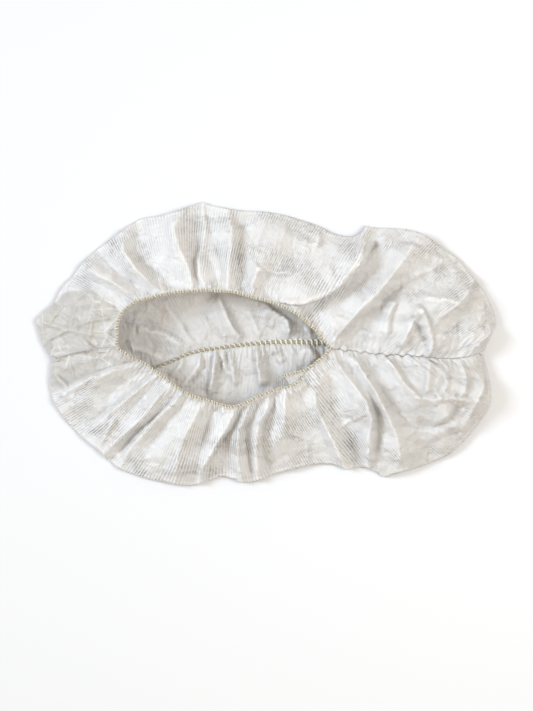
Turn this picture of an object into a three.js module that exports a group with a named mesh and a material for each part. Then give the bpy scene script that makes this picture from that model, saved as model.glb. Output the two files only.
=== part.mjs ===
// A disposable shoe cover lying open on a surface, sole down and toe towards +X.
//
// Two panels of thin film-backed cloth make it: one for each side of the foot.  Each panel starts at the
// gathered mouth (or at the seam on the instep or the heel), slopes down to a soft rim, folds under there and
// runs back along the ground to the sole seam, where it meets the other panel.  An elastic is sewn round the
// mouth, and the overlocked seam allowances stand inside along the instep, the sole and the heel.
//
// Millimetres, +Z up.  The origin is on the ground under the middle of the cover, and +Y is the wearer's left.

import * as THREE from "three";

// ---- driving dimensions -------------------------------------------------------------------------------

const WALL = 1.2; // cloth with its fine creases, as one wall
const RIM_RADIUS = 5; // the soft fold where a panel turns under
const ELASTIC_RADIUS = 1.5; // the elastic inside the mouth's overlocked edge
const SEAM_DEPTH = 4.4; // an overlocked seam allowance, from the seam to its free edge
const SEAM_THICK = 2;
const GAP = 0.35; // clear space kept between neighbouring pieces
const SEAM_SLIT = 0.45; // slit between the two panels along a seam

const STEPS_ALONG = 54; // cloth faces from toe to heel
const TOP_STEPS = 9; // cloth faces from the mouth down to the rim
const RIM_STEPS = 3; // round the rim
const SOLE_STEPS = 4; // from the rim to the sole seam
const FADE = 0.16; // share of the slope at each end in which a fold flattens out
const SLOPE_BEND = 1.4; // how much steeper the slope falls near the rim than near the mouth
const DEEPEST = 0.8; // a crease stays above this share of a straight slope's height
const FOLD_STEPS = 8; // straight pieces that stand for a fold's curved line
const SEAM_POINTS = 12; // points that carry a seam allowance's line
const OVAL_SIDES = 8;
const ELASTIC_STEPS = 96;
const ELASTIC_SIDES = 6;

// ---- seams and mouth: points on each line, from toe to heel ---------------------------------------------

// The instep seam, sunk between the two lobes of the toe.
const INSTEP_SEAM = [
  { x: 176, y: -6, z: 11 },
  { x: 160, y: -10, z: 14 },
  { x: 145, y: -10.5, z: 16 },
  { x: 120, y: -8.5, z: 18 },
  { x: 92, y: -7, z: 20 },
  { x: 72, y: -4.5, z: 23 },
  { x: 54, y: -3, z: 27 },
];

// The heel seam, from the back of the mouth down to the notch in the heel's rim.
const HEEL_SEAM = [
  { x: -120, y: -1.5, z: 31 },
  { x: -138, y: -3, z: 27 },
  { x: -156, y: -6, z: 20 },
  { x: -171, y: -10.5, z: 12 },
];

// The sole seam wanders to the right under the heel.
const SOLE_SEAM = [
  { x: 174, y: -6 },
  { x: 130, y: -5 },
  { x: 80, y: 0 },
  { x: 20, y: 3 },
  { x: -20, y: 0.5 },
  { x: -60, y: -6 },
  { x: -90, y: -18 },
  { x: -120, y: -21 },
  { x: -150, y: -17 },
  { x: -171, y: -10.5 },
];

// ---- the panels' sections: one row for each line across the cloth, from toe to heel ------------------
// edge:  where the section starts: an x on the instep or heel seam, or a point of the mouth
// rim:   the furthest point out, in plan
// sole:  x where it reaches the sole seam
// crown: how far the slope bulges above a straight one

const instep = (x) => ({ seam: INSTEP_SEAM, x });
const heel = (x) => ({ seam: HEEL_SEAM, x });
const mouth = (x, y, z) => ({ point: [x, y, z] });

const LEFT_SECTIONS = [
  { edge: instep(172), rim: [180, -3], sole: 173, crown: 0 },
  { edge: instep(152), rim: [188, 19], sole: 160, crown: 6 },
  { edge: instep(132), rim: [184, 38], sole: 146, crown: 12 },
  { edge: instep(112), rim: [174, 52], sole: 130, crown: 15 },
  { edge: instep(93), rim: [157, 69], sole: 112, crown: 14 },
  { edge: instep(74), rim: [136, 85], sole: 92, crown: 10 },
  { edge: instep(55), rim: [107, 94], sole: 68, crown: 7 },
  { edge: mouth(50, 1, 28.5), rim: [94, 95.5], sole: 58, crown: 5 },
  { edge: mouth(43, 9, 30), rim: [84, 95.5], sole: 50, crown: 3 },
  { edge: mouth(33, 18, 31), rim: [75, 88], sole: 42, crown: 4 },
  { edge: mouth(22, 26, 32), rim: [52, 92], sole: 30, crown: 6 },
  { edge: mouth(4, 34.5, 33), rim: [27, 102], sole: 10, crown: 6 },
  { edge: mouth(-18, 41.5, 34), rim: [-4, 108], sole: -14, crown: 5 },
  { edge: mouth(-38, 43.5, 34), rim: [-30, 111], sole: -35, crown: 4 },
  { edge: mouth(-54, 44, 34), rim: [-52, 115], sole: -52, crown: 2 },
  { edge: mouth(-70, 42.5, 34), rim: [-80, 107.5], sole: -70, crown: 4 },
  { edge: mouth(-86, 40, 34), rim: [-106, 100], sole: -88, crown: 5 },
  { edge: mouth(-101, 36, 34), rim: [-130, 85], sole: -106, crown: 5 },
  { edge: mouth(-112, 29, 33), rim: [-152, 66], sole: -124, crown: 4 },
  { edge: mouth(-118, 19, 33), rim: [-169, 42], sole: -142, crown: 3 },
  { edge: mouth(-119, 9, 32), rim: [-186, 22], sole: -155, crown: 2 },
  { edge: mouth(-118.5, 3.5, 31.5), rim: [-185, 15], sole: -159, crown: 2 },
  { edge: heel(-122), rim: [-183, 8], sole: -162, crown: 2 },
  { edge: heel(-145), rim: [-180, -2], sole: -168, crown: 1 },
  { edge: heel(-169), rim: [-178, -6], sole: -171, crown: 0 },
];

const RIGHT_SECTIONS = [
  { edge: instep(172), rim: [178, -9], sole: 173, crown: 0 },
  { edge: instep(152), rim: [182, -23], sole: 160, crown: 5 },
  { edge: instep(132), rim: [184, -43], sole: 146, crown: 10 },
  { edge: instep(112), rim: [174, -62], sole: 130, crown: 13 },
  { edge: instep(93), rim: [160, -79], sole: 113, crown: 13 },
  { edge: instep(76), rim: [142, -93], sole: 96, crown: 11 },
  { edge: instep(62), rim: [119, -101], sole: 80, crown: 8 },
  { edge: instep(55), rim: [97, -106], sole: 66, crown: 5 },
  { edge: mouth(50, -5, 28.3), rim: [90, -102.5], sole: 61, crown: 4 },
  { edge: mouth(46, -10, 29), rim: [82, -99], sole: 56, crown: 4 },
  { edge: mouth(38, -18, 30), rim: [65, -99.5], sole: 46, crown: 4 },
  { edge: mouth(27, -28, 31), rim: [48, -96], sole: 34, crown: 5 },
  { edge: mouth(10, -34.5, 32), rim: [26, -99], sole: 16, crown: 5 },
  { edge: mouth(-6, -42, 32), rim: [0, -107], sole: -2, crown: 5 },
  { edge: mouth(-20, -49, 32), rim: [-20, -110], sole: -20, crown: 4 },
  { edge: mouth(-34, -48, 32), rim: [-38, -107], sole: -36, crown: 4 },
  { edge: mouth(-50, -43, 33), rim: [-64, -113], sole: -54, crown: 4 },
  { edge: mouth(-66, -38, 33), rim: [-92, -108.5], sole: -74, crown: 5 },
  { edge: mouth(-80, -27.5, 33), rim: [-118, -99], sole: -94, crown: 5 },
  { edge: mouth(-95, -17.5, 33), rim: [-141, -82], sole: -114, crown: 5 },
  { edge: mouth(-108, -9, 32), rim: [-162, -61], sole: -134, crown: 4 },
  { edge: mouth(-114.5, -5, 31.7), rim: [-169, -51], sole: -144, crown: 3 },
  { edge: heel(-122), rim: [-174, -38], sole: -152, crown: 3 },
  { edge: heel(-145), rim: [-175, -22], sole: -166, crown: 1 },
  { edge: heel(-169), rim: [-174, -16], sole: -171, crown: 0 },
];

// ---- main folds of the upper cloth ----------------------------------------------------------------------
// from, by, to: three points in plan that the crest or crease runs through
// rise:         height of a crest, or depth of a crease if negative
// west, east:   width of its two sides

const FOLDS = [
  { name: "instep_ruff", from: [14, 35], by: [62, 50], to: [81, 88], rise: 8, west: 28, east: 9 },
  { name: "toe_crest", from: [56, 6], by: [82, 50], to: [108, 92], rise: 7, west: 16, east: 20 },
  { name: "toe_crease", from: [62, 2], by: [100, 42], to: [152, 68], rise: -6, west: 13, east: 12 },
  { name: "lobe_crest", from: [134, 14], by: [152, 33], to: [174, 51], rise: 6, west: 16, east: 12 },
  { name: "lobe_peak", from: [104, 2], by: [122, 26], to: [132, 2], rise: 5, west: 9, east: 9 },
  { name: "side_crease", from: [-34, 56], by: [-43, 84], to: [-52, 114], rise: -5, west: 16, east: 10 },
  { name: "side_crest", from: [-52, 50], by: [-68, 80], to: [-94, 100], rise: 6, west: 14, east: 12 },
  { name: "quarter_crest", from: [-82, 46], by: [-110, 66], to: [-118, 90], rise: 6, west: 13, east: 9 },
  { name: "back_crest", from: [-98, 42], by: [-128, 62], to: [-136, 78], rise: 5, west: 9, east: 9 },
  { name: "heel_crest", from: [-118, 22], by: [-150, 42], to: [-165, 46], rise: 4, west: 10, east: 9 },
  { name: "heel_fold", from: [-108, -12], by: [-140, -24], to: [-168, -38], rise: 5, west: 10, east: 10 },
  { name: "back_fold", from: [-78, -30], by: [-118, -46], to: [-160, -67], rise: 6, west: 12, east: 13 },
  { name: "quarter_fold", from: [-62, -42], by: [-88, -66], to: [-104, -100], rise: 4, west: 10, east: 11 },
  { name: "side_fold", from: [-44, -50], by: [-56, -76], to: [-64, -110], rise: 4, west: 10, east: 9 },
  { name: "waist_fold", from: [-18, -52], by: [-22, -80], to: [-44, -104], rise: 4, west: 9, east: 9 },
  { name: "waist_crease", from: [18, -42], by: [42, -68], to: [64, -96], rise: -5, west: 11, east: 12 },
  { name: "ball_fold", from: [58, -16], by: [84, -60], to: [100, -102], rise: 7, west: 12, east: 16 },
  { name: "toe_fold", from: [104, -12], by: [120, -38], to: [150, -46], rise: 4, west: 10, east: 14 },
  { name: "cap_fold", from: [168, -70], by: [176, -44], to: [181, -24], rise: 5, west: 14, east: 8 },
];

// ---- curves and small sums --------------------------------------------------------------------------------

const mix = (a, b, t) => a + (b - a) * t;
const clamp = (v, low, high) => Math.min(high, Math.max(low, v));

// A table of numbers as a smooth function of t from 0 to 1: Catmull-Rom through its rows.
function smooth(rows) {
  const last = rows.length - 1;
  return (t) => {
    const place = clamp(t, 0, 1) * last;
    const i = Math.min(Math.floor(place), last - 1);
    const f = place - i;
    const [a, b, c, d] = [Math.max(i - 1, 0), i, i + 1, Math.min(i + 2, last)].map((k) => rows[k]);
    return b.map((_, k) => {
      const slopeB = (c[k] - a[k]) / 2;
      const slopeC = (d[k] - b[k]) / 2;
      const rise = c[k] - b[k];
      return b[k] + f * (slopeB + f * (3 * rise - 2 * slopeB - slopeC + f * (slopeB + slopeC - 2 * rise)));
    });
  };
}

// The point of a seam at a given x: a smooth line through its rows, which run towards -X.
function onSeam(seam, x) {
  const rows = seam.map((row) => [row.x, row.y, row.z ?? 0]);
  const last = rows.length - 1;
  const after = rows.findIndex((row) => row[0] <= x);
  const i = after < 0 ? last - 1 : clamp(after - 1, 0, last - 1);
  const [a, b, c, d] = [Math.max(i - 1, 0), i, i + 1, Math.min(i + 2, last)].map((k) => rows[k]);
  const run = c[0] - b[0];
  const t = clamp((x - b[0]) / run, 0, 1);
  return [x].concat(
    [1, 2].map((k) => {
      const slopeB = ((c[k] - a[k]) / (c[0] - a[0])) * run;
      const slopeC = ((d[k] - b[k]) / (d[0] - b[0])) * run;
      const rise = c[k] - b[k];
      return b[k] + t * (slopeB + t * (3 * rise - 2 * slopeB - slopeC + t * (slopeB + slopeC - 2 * rise)));
    }),
  );
}

// How much the folds lift a point of the upper cloth.
function foldLift(x, y) {
  let lift = 0;
  for (const fold of FOLDS) {
    let nearest = Infinity;
    let east = true;
    let last = fold.from;
    for (let step = 1; step <= FOLD_STEPS; step++) {
      const t = step / FOLD_STEPS;
      const next = [0, 1].map(
        (k) => (1 - t) * (1 - 2 * t) * fold.from[k] + 4 * t * (1 - t) * fold.by[k] + t * (2 * t - 1) * fold.to[k],
      );
      const run = [next[0] - last[0], next[1] - last[1]];
      const off = [x - last[0], y - last[1]];
      const along = clamp((off[0] * run[0] + off[1] * run[1]) / (run[0] ** 2 + run[1] ** 2), 0, 1);
      const gap = Math.hypot(off[0] - along * run[0], off[1] - along * run[1]);
      if (gap < nearest) {
        nearest = gap;
        east = (run[1] * off[0] - run[0] * off[1]) * Math.sign(run[1] || 1) > 0;
      }
      last = next;
    }
    const width = east ? fold.east : fold.west;
    lift += fold.rise * Math.max(0, 1 - nearest / width);
  }
  return lift;
}

// ---- the cloth ---------------------------------------------------------------------------------------------

// One panel's middle surface.  side is +1 for the left panel and -1 for the right one.
function panelSurface(sections, side) {
  const kinds = sections.map(({ edge }) => edge.seam);
  const starts = sections.map(({ edge }) => edge.point ?? onSeam(edge.seam, edge.x));
  const rows = sections.map(({ edge, rim, sole, crown }, i) => {
    const [x, y, z] = starts[i];
    if (edge.seam) return [x, y, z, ...rim, sole, crown];
    const run = [0, 1].map((k) => starts[i + 1][k] - starts[i - 1][k]);
    const clear = (side * (ELASTIC_RADIUS + SEAM_SLIT)) / Math.hypot(...run);
    return [x + run[1] * clear, y - run[0] * clear, z, ...rim, sole, crown];
  });
  const sectionAt = smooth(rows);
  return (s, row) => {
    let [ex, ey, ez, rx, ry, soleX, crown] = sectionAt(s);
    const place = s * (rows.length - 1);
    const seam = kinds[Math.floor(place)] && kinds[Math.ceil(place)];
    if (seam) {
      [, ey, ez] = onSeam(seam, ex);
      ey += (side * SEAM_SLIT) / 2;
    }
    const out = Math.hypot(rx - ex, ry - ey);
    const [ox, oy] = [(rx - ex) / out, (ry - ey) / out];
    const radius = Math.min(RIM_RADIUS, (ez - WALL / 2) / 2);
    if (row <= TOP_STEPS) {
      const t = row / TOP_STEPS;
      const [x, y] = [ex + ox * t * (out - radius), ey + oy * t * (out - radius)];
      const base = mix(ez, WALL / 2 + 2 * radius, t ** SLOPE_BEND) + crown * Math.sin(Math.PI * t);
      const fade = clamp(t / FADE, 0, 1) * clamp((1 - t) / FADE, 0, 1);
      const floor = mix(ez, WALL / 2 + 2 * radius, t) * DEEPEST;
      return [x, y, Math.max(base + fade * foldLift(x, y), floor)];
    }
    if (row <= TOP_STEPS + RIM_STEPS) {
      const turn = (Math.PI * (row - TOP_STEPS)) / RIM_STEPS;
      const reach = out - radius + radius * Math.sin(turn);
      return [ex + ox * reach, ey + oy * reach, WALL / 2 + radius + radius * Math.cos(turn)];
    }
    const t = (row - TOP_STEPS - RIM_STEPS) / SOLE_STEPS;
    const [, seamY] = onSeam(SOLE_SEAM, soleX);
    const start = [ex + ox * (out - radius), ey + oy * (out - radius)];
    return [mix(start[0], soleX, t), mix(start[1], seamY + (side * SEAM_SLIT) / 2, t), WALL / 2];
  };
}

// Thickens a grid of middle points into one closed wall.
function clothWall(sections, side) {
  const surface = panelSurface(sections, side);
  const across = TOP_STEPS + RIM_STEPS + SOLE_STEPS;
  const grid = [];
  for (let i = 0; i <= STEPS_ALONG; i++) {
    const line = [];
    for (let j = 0; j <= across; j++) line.push(new THREE.Vector3(...surface(i / STEPS_ALONG, j)));
    grid.push(line);
  }
  const normalAt = (i, j) => {
    if (j === 0) return new THREE.Vector3(0, 0, 1);
    if (j === across) return new THREE.Vector3(0, 0, -1);
    const alongS = grid[Math.min(i + 1, STEPS_ALONG)][j].clone().sub(grid[Math.max(i - 1, 0)][j]);
    const alongV = grid[i][j + 1].clone().sub(grid[i][j - 1]);
    return alongV.cross(alongS).multiplyScalar(side).normalize();
  };
  const positions = [];
  for (const offset of [WALL / 2, -WALL / 2]) {
    for (let i = 0; i <= STEPS_ALONG; i++)
      for (let j = 0; j <= across; j++) {
        const p = grid[i][j].clone().addScaledVector(normalAt(i, j), offset);
        positions.push(p.x, p.y, p.z);
      }
  }
  const layer = (STEPS_ALONG + 1) * (across + 1);
  const at = (k, i, j) => k * layer + i * (across + 1) + j;
  const index = [];
  const quad = (a, b, c, d) => {
    if (side > 0) index.push(a, b, c, a, c, d);
    else index.push(a, c, b, a, d, c);
  };
  for (let i = 0; i < STEPS_ALONG; i++)
    for (let j = 0; j < across; j++) {
      quad(at(0, i, j), at(0, i, j + 1), at(0, i + 1, j + 1), at(0, i + 1, j));
      quad(at(1, i, j), at(1, i + 1, j), at(1, i + 1, j + 1), at(1, i, j + 1));
    }
  for (let i = 0; i < STEPS_ALONG; i++) {
    quad(at(0, i, 0), at(0, i + 1, 0), at(1, i + 1, 0), at(1, i, 0));
    quad(at(0, i, across), at(1, i, across), at(1, i + 1, across), at(0, i + 1, across));
  }
  for (let j = 0; j < across; j++) {
    quad(at(0, 0, j), at(1, 0, j), at(1, 0, j + 1), at(0, 0, j + 1));
    quad(at(0, STEPS_ALONG, j), at(0, STEPS_ALONG, j + 1), at(1, STEPS_ALONG, j + 1), at(1, STEPS_ALONG, j));
  }
  const geometry = new THREE.BufferGeometry();
  geometry.setAttribute("position", new THREE.Float32BufferAttribute(positions, 3));
  geometry.setIndex(index);
  return geometry;
}

// ---- elastic and seams --------------------------------------------------------------------------------------

// The mouth's elastic: a closed round band through the mouth points of both panels.
function mouthElastic() {
  const points = [new THREE.Vector3(51, -2.5, 28.2)];
  const pick = (sections) => sections.filter((row) => row.edge.point).map((row) => row.edge.point);
  for (const [x, y, z] of pick(LEFT_SECTIONS)) points.push(new THREE.Vector3(x, y, z));
  points.push(new THREE.Vector3(-117.5, -1, 31.5));
  for (const [x, y, z] of pick(RIGHT_SECTIONS).reverse()) points.push(new THREE.Vector3(x, y, z));
  const loop = new THREE.CatmullRomCurve3(points, true);
  return new THREE.TubeGeometry(loop, ELASTIC_STEPS, ELASTIC_RADIUS, ELASTIC_SIDES, true);
}

// A seam allowance: an oval section, wide across and tall up, kept upright along a line of points.
function seamAllowance(points, wide, tall, steps) {
  const line = new THREE.CatmullRomCurve3(points);
  const positions = [];
  for (let i = 0; i <= steps; i++) {
    const centre = line.getPointAt(i / steps);
    const run = line.getTangentAt(i / steps);
    const across = new THREE.Vector3(-run.y, run.x, 0).normalize();
    const up = run.clone().cross(across).normalize();
    for (let k = 0; k < OVAL_SIDES; k++) {
      const turn = (2 * Math.PI * k) / OVAL_SIDES;
      const p = centre.clone();
      p.addScaledVector(across, (wide / 2) * Math.cos(turn)).addScaledVector(up, (tall / 2) * Math.sin(turn));
      positions.push(p.x, p.y, p.z);
    }
  }
  const at = (i, k) => i * OVAL_SIDES + (k % OVAL_SIDES);
  const index = [];
  for (let i = 0; i < steps; i++)
    for (let k = 0; k < OVAL_SIDES; k++) {
      index.push(at(i, k), at(i, k + 1), at(i + 1, k), at(i, k + 1), at(i + 1, k + 1), at(i + 1, k));
    }
  for (let k = 1; k < OVAL_SIDES - 1; k++) {
    index.push(at(0, 0), at(0, k + 1), at(0, k), at(steps, 0), at(steps, k), at(steps, k + 1));
  }
  const geometry = new THREE.BufferGeometry();
  geometry.setAttribute("position", new THREE.Float32BufferAttribute(positions, 3));
  geometry.setIndex(index);
  return geometry;
}

// The middle line of an allowance: along a seam between two x values, at a height above or below it.
function seamLine(seam, fromX, toX, lift) {
  return Array.from({ length: SEAM_POINTS + 1 }, (_, i) => {
    const [x, y, z] = onSeam(seam, mix(fromX, toX, i / SEAM_POINTS));
    return new THREE.Vector3(x, y, z + lift);
  });
}

const lying = WALL + GAP + SEAM_THICK / 2;
const hanging = -(WALL / 2 + SEAM_SLIT + SEAM_DEPTH / 2);

// ---- the assembly --------------------------------------------------------------------------------------------

const cloth = new THREE.MeshStandardMaterial({ color: 0xf1efea, roughness: 0.62, side: THREE.DoubleSide });
const elastic = new THREE.MeshStandardMaterial({ color: 0xd9cfa8, roughness: 0.55 });
const thread = new THREE.MeshStandardMaterial({ color: 0xe9e2c8, roughness: 0.7 });

const shoeCover = new THREE.Group();

function add(name, geometry, material) {
  const mesh = new THREE.Mesh(geometry, material);
  mesh.name = name;
  shoeCover.add(mesh);
}

add("left_panel", clothWall(LEFT_SECTIONS, 1), cloth);
add("right_panel", clothWall(RIGHT_SECTIONS, -1), cloth);
add("mouth_elastic", mouthElastic(), elastic);
add("sole_seam", seamAllowance(seamLine(SOLE_SEAM, 166, -152, lying), SEAM_DEPTH, SEAM_THICK, 44), thread);
add("instep_seam", seamAllowance(seamLine(INSTEP_SEAM, 160, 56, hanging), SEAM_THICK, SEAM_DEPTH, 20), thread);
add("heel_seam", seamAllowance(seamLine(HEEL_SEAM, -122, -152, hanging), SEAM_THICK, SEAM_DEPTH, 8), thread);

export default shoeCover;
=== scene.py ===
# %% [markdown]
# # A disposable shoe cover, lying open
#
# The real thing is two panels of thin, ribbed, film-backed cloth.  One seam joins them: it starts at the
# back of the mouth, runs down the heel, forwards under the sole, round the toe and back up the instep.  The
# mouth is overlocked over a stretched elastic, which gathers the cloth round it.
#
# Cloth like this could be sculpted by hand, or simulated from its flat cut.  Here it is worked out with numpy
# as grids of points: then every pleat has a place and a height that can be read and changed, and only the
# small gathers are left to chance.  The imported frame says where the cover lies and how big it is.

# %% The frame
import bpy
import numpy as np
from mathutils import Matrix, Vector


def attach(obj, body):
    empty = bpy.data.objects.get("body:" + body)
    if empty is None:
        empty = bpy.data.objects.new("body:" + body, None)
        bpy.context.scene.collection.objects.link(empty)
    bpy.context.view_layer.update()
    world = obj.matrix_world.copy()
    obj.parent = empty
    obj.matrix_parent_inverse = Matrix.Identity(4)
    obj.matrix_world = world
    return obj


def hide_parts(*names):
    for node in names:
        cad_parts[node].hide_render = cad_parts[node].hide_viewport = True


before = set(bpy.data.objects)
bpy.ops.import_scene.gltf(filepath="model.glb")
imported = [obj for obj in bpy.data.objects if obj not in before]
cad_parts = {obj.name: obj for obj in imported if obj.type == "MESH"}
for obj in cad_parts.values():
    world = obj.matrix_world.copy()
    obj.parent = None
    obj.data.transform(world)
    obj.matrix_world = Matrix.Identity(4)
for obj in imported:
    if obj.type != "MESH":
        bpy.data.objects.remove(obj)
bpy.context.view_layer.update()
MM = 0.001
print("the frame holds", ", ".join(sorted(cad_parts)))

# %% [markdown]
# ## Lines through points
#
# Every outline and fold here starts as a short table of places, and a smooth line goes through them.  A
# Bezier curve would need handles as well; a Catmull-Rom spline passes through each row and needs none.

# %% Smooth lines


def ramp(value, width):
    """From 0 to 1 while the value goes from 0 to the width."""
    return np.clip(value / width, 0, 1)


def cubic(start, rise, first_slope, last_slope, f):
    """The cubic that climbs from `start` by `rise` while f goes from 0 to 1, with the given end slopes."""
    bend, twist = 3 * rise - 2 * first_slope - last_slope, first_slope + last_slope - 2 * rise
    return start + f * (first_slope + f * (bend + f * twist))


def smooth_line(rows, t):
    """Catmull-Rom spline through the rows of a table, at each t from 0 to 1: between rows b and c the value
    is a cubic whose slope at b is half of c - a, and at c half of d - b."""
    rows = np.asarray(rows, float)
    last = len(rows) - 1
    place = np.clip(t, 0, 1) * last
    i = np.minimum(place.astype(int), last - 1)
    f = (place - i)[:, None]
    a, b, c, d = (rows[k] for k in (np.maximum(i - 1, 0), i, i + 1, np.minimum(i + 2, last)))
    return cubic(b, c - b, (c - a) / 2, (d - b) / 2, f)


def seam_at(seam, x):
    """The points of a seam above given x: a cubic between neighbouring rows, whose slopes are taken across
    the two rows beside each."""
    rows = np.asarray(seam, float)[::-1]
    last = len(rows) - 1
    k = np.clip(np.searchsorted(rows[:, 0], x) - 1, 0, last - 1)
    before, after = np.maximum(k - 1, 0), np.minimum(k + 2, last)
    run = (rows[k + 1, 0] - rows[k, 0])[:, None]
    t = np.clip((x - rows[k, 0])[:, None] / run, 0, 1)
    slope_b = (rows[k + 1] - rows[before]) / (rows[k + 1, :1] - rows[before, :1]) * run
    slope_c = (rows[after] - rows[k]) / (rows[after, :1] - rows[k, :1]) * run
    points = cubic(rows[k], rows[k + 1] - rows[k], slope_b, slope_c, t)
    points[:, 0] = x
    return points


def table_along(table, x):
    """The columns of a table after its first, read between its rows at each x."""
    rows = np.asarray(table, float)[::-1]
    return [np.interp(x, rows[:, 0], rows[:, k]) for k in range(1, rows.shape[1])]


print("half way from 0 to 2 lies", smooth_line([[0], [2]], np.array([0.5]))[0, 0])

# %% [markdown]
# ## The seams and the sections
#
# The three stretches of the one seam are short tables, each row (x, y, z), from toe to heel.  A panel is
# described by its sections, the lines that cross the cloth from the mouth, or from the instep or heel seam,
# out to the rim and back underneath to the sole seam.  Few sections keep the outline easy to change.

# %% Seam tables, in millimetres
INSTEP_SEAM = [
    (176, -6, 11), (160, -10, 14), (145, -10.5, 16), (120, -8.5, 18), (92, -7, 20), (72, -4.5, 23),
    (55, -3, 27),
]
HEEL_SEAM = [(-121, -1.5, 31), (-138, -3, 27), (-156, -6, 20), (-171, -10.5, 12)]
SOLE_SEAM = [
    (174, -6, 0.4), (130, -5, 0.4), (80, 0, 0.4), (20, 3, 0.4), (-20, 0.5, 0.4), (-60, -6, 0.4),
    (-90, -18, 0.4), (-120, -21, 0.4), (-150, -17, 0.4), (-171, -10.5, 0.4),
]
print("the sole seam spans", SOLE_SEAM[0][0] - SOLE_SEAM[-1][0], "mm")

# %% Panel sections, by where they start: (start, rim x, rim y, sole x, crown), in millimetres
# The start is the x of a point on the instep or heel seam, or the x, y, z of a point of the mouth's edge.
SEAMS = {"instep": INSTEP_SEAM, "heel": HEEL_SEAM}
LEFT_SECTIONS = {
    "instep": [
        (174, 179, -4, 174, 0), (158, 186, 12, 163, 5), (146, 188, 20, 156, 8), (132, 184, 33, 147, 12),
        (120, 178, 45, 138, 14), (104, 167, 59, 124, 15), (92, 158, 70, 112, 13), (81, 146, 79, 101, 12),
        (72, 130, 90, 90, 10), (63, 116, 94.5, 79, 8), (56, 102, 95.5, 69, 7),
    ],
    "mouth": [
        (50.5, 0, 28.5, 90, 96, 60, 6), (46, 6, 29.5, 82.5, 97, 55, 5), (39, 13.5, 30.5, 77, 91, 48, 5),
        (32, 20, 31, 68, 89, 41, 5), (24, 26, 32, 54, 92, 32, 6), (14, 31, 32.5, 42, 98, 22, 6),
        (2, 35.5, 33, 24, 104, 9, 6), (-12, 39, 33.5, 4, 108.5, -8, 6), (-24, 42.5, 34, -16, 110, -22, 5),
        (-36, 43.5, 34, -32, 112, -34, 4), (-45, 44, 34, -44, 114.5, -44, 3),
        (-52, 44, 34, -52, 116.5, -51, 3), (-60, 43.5, 34, -66, 111.5, -60, 4),
        (-72, 42.5, 34, -84, 106, -72, 4), (-84, 40.5, 34, -103, 102.5, -85, 5),
        (-95, 37.5, 34, -122, 89, -99, 5), (-104, 35, 34, -140, 76, -111, 5),
        (-111, 30.5, 33.5, -155, 59.5, -123, 4), (-116, 25, 33.3, -166, 46, -133, 4),
        (-118.5, 18, 33, -173, 34.5, -143, 3), (-119, 11, 32, -186, 22, -152, 2),
        (-119, 5, 31.5, -185.5, 15, -158, 2),
    ],
    "heel": [(-122, -183, 6, -162, 2), (-145, -180, -1, -168, 1), (-169, -177, -7, -171, 0)],
}
RIGHT_SECTIONS = {
    "instep": [
        (174, 178, -8, 174, 0), (158, 181, -20, 163, 4), (144, 184, -33, 155, 8),
        (130, 183.5, -48, 144, 11), (116, 177, -60, 133, 13), (102, 166, -74, 120, 13),
        (89, 154, -86, 108, 12), (78, 142, -93, 98, 11), (68, 122, -100, 87, 10), (61, 108, -104, 78, 8),
        (56, 97, -107, 70, 6),
    ],
    "mouth": [
        (50.5, -5, 28.3, 90, -103, 63, 5), (45, -11, 29, 82, -99.5, 56, 5),
        (39, -16.5, 29.5, 74, -99.5, 50, 5), (33, -22, 30, 67, -101, 42, 5),
        (28, -28.5, 30.5, 56, -97, 36, 5), (20, -33, 31, 44, -96.5, 27, 5),
        (8, -35.5, 31.5, 28, -99.5, 14, 5), (-4, -40.5, 32, 10, -104, 2, 5),
        (-14, -45, 32, -4, -109.5, -8, 5), (-22, -48.5, 32, -18, -111.5, -18, 4),
        (-30, -49, 32, -34, -107, -30, 4), (-40, -46, 32, -46, -110.5, -42, 4),
        (-50, -43, 33, -64, -114, -54, 4), (-61, -39.5, 33, -82, -111.5, -67, 4),
        (-70, -34, 33, -101, -107, -79, 5), (-80, -26.5, 33, -119, -100, -92, 5),
        (-90, -19, 33, -134, -87, -106, 5), (-99, -13.5, 32.5, -149, -75, -118, 5),
        (-107, -9.5, 32, -161, -63, -131, 4), (-113, -6, 31.8, -169, -51, -142, 4),
        (-117, -3, 31.5, -174, -40, -151, 3),
    ],
    "heel": [(-122, -176, -31, -158, 2), (-145, -175, -22, -166, 1), (-169, -174.5, -15, -171, 0)],
}
for name, sections in (("left", LEFT_SECTIONS), ("right", RIGHT_SECTIONS)):
    print("on the", name, {where: len(rows) for where, rows in sections.items()}, "sections")

# %% [markdown]
# ## The plain panel
#
# A panel's grid has one column for each place along the rim, and rows that go down the slope, round the rim
# and back along the ground.  The slope is straight with a little crown, and the rim is half a circle.

# %% Grid counts and thicknesses, in millimetres
ALONG = 464
SLOPE_ROWS, RIM_ROWS, SOLE_ROWS = 64, 8, 30
ROWS = SLOPE_ROWS + RIM_ROWS + SOLE_ROWS
CLOTH = 0.35
RIM_RADIUS = 3.0
print("a panel has", ALONG * ROWS, "faces")

# %% The instep seam's gathers
PUCKERS = [(0.6, 11.3, 0), (0.5, 6.7, 1)]  # (height, wave length, phase)


def puckered(seam, x):
    """The instep seam's line, which its gathers draw from side to side: two sines, dying out at both ends."""
    points = seam_at(seam, x)
    if seam is INSTEP_SEAM:
        near = ramp(140 - x, 20) * ramp(x - 56, 8)
        waves = (high * np.sin(2 * np.pi * x / wave + phase) for high, wave, phase in PUCKERS)
        points[:, 1] += near * sum(waves)
    return points


print("its puckers reach", sum(high for high, *_ in PUCKERS), "mm to each side")

# %% Sections to columns
INNER_SHARE = 0.9  # how much a step along the inner edge counts, beside one along the rim


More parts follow.
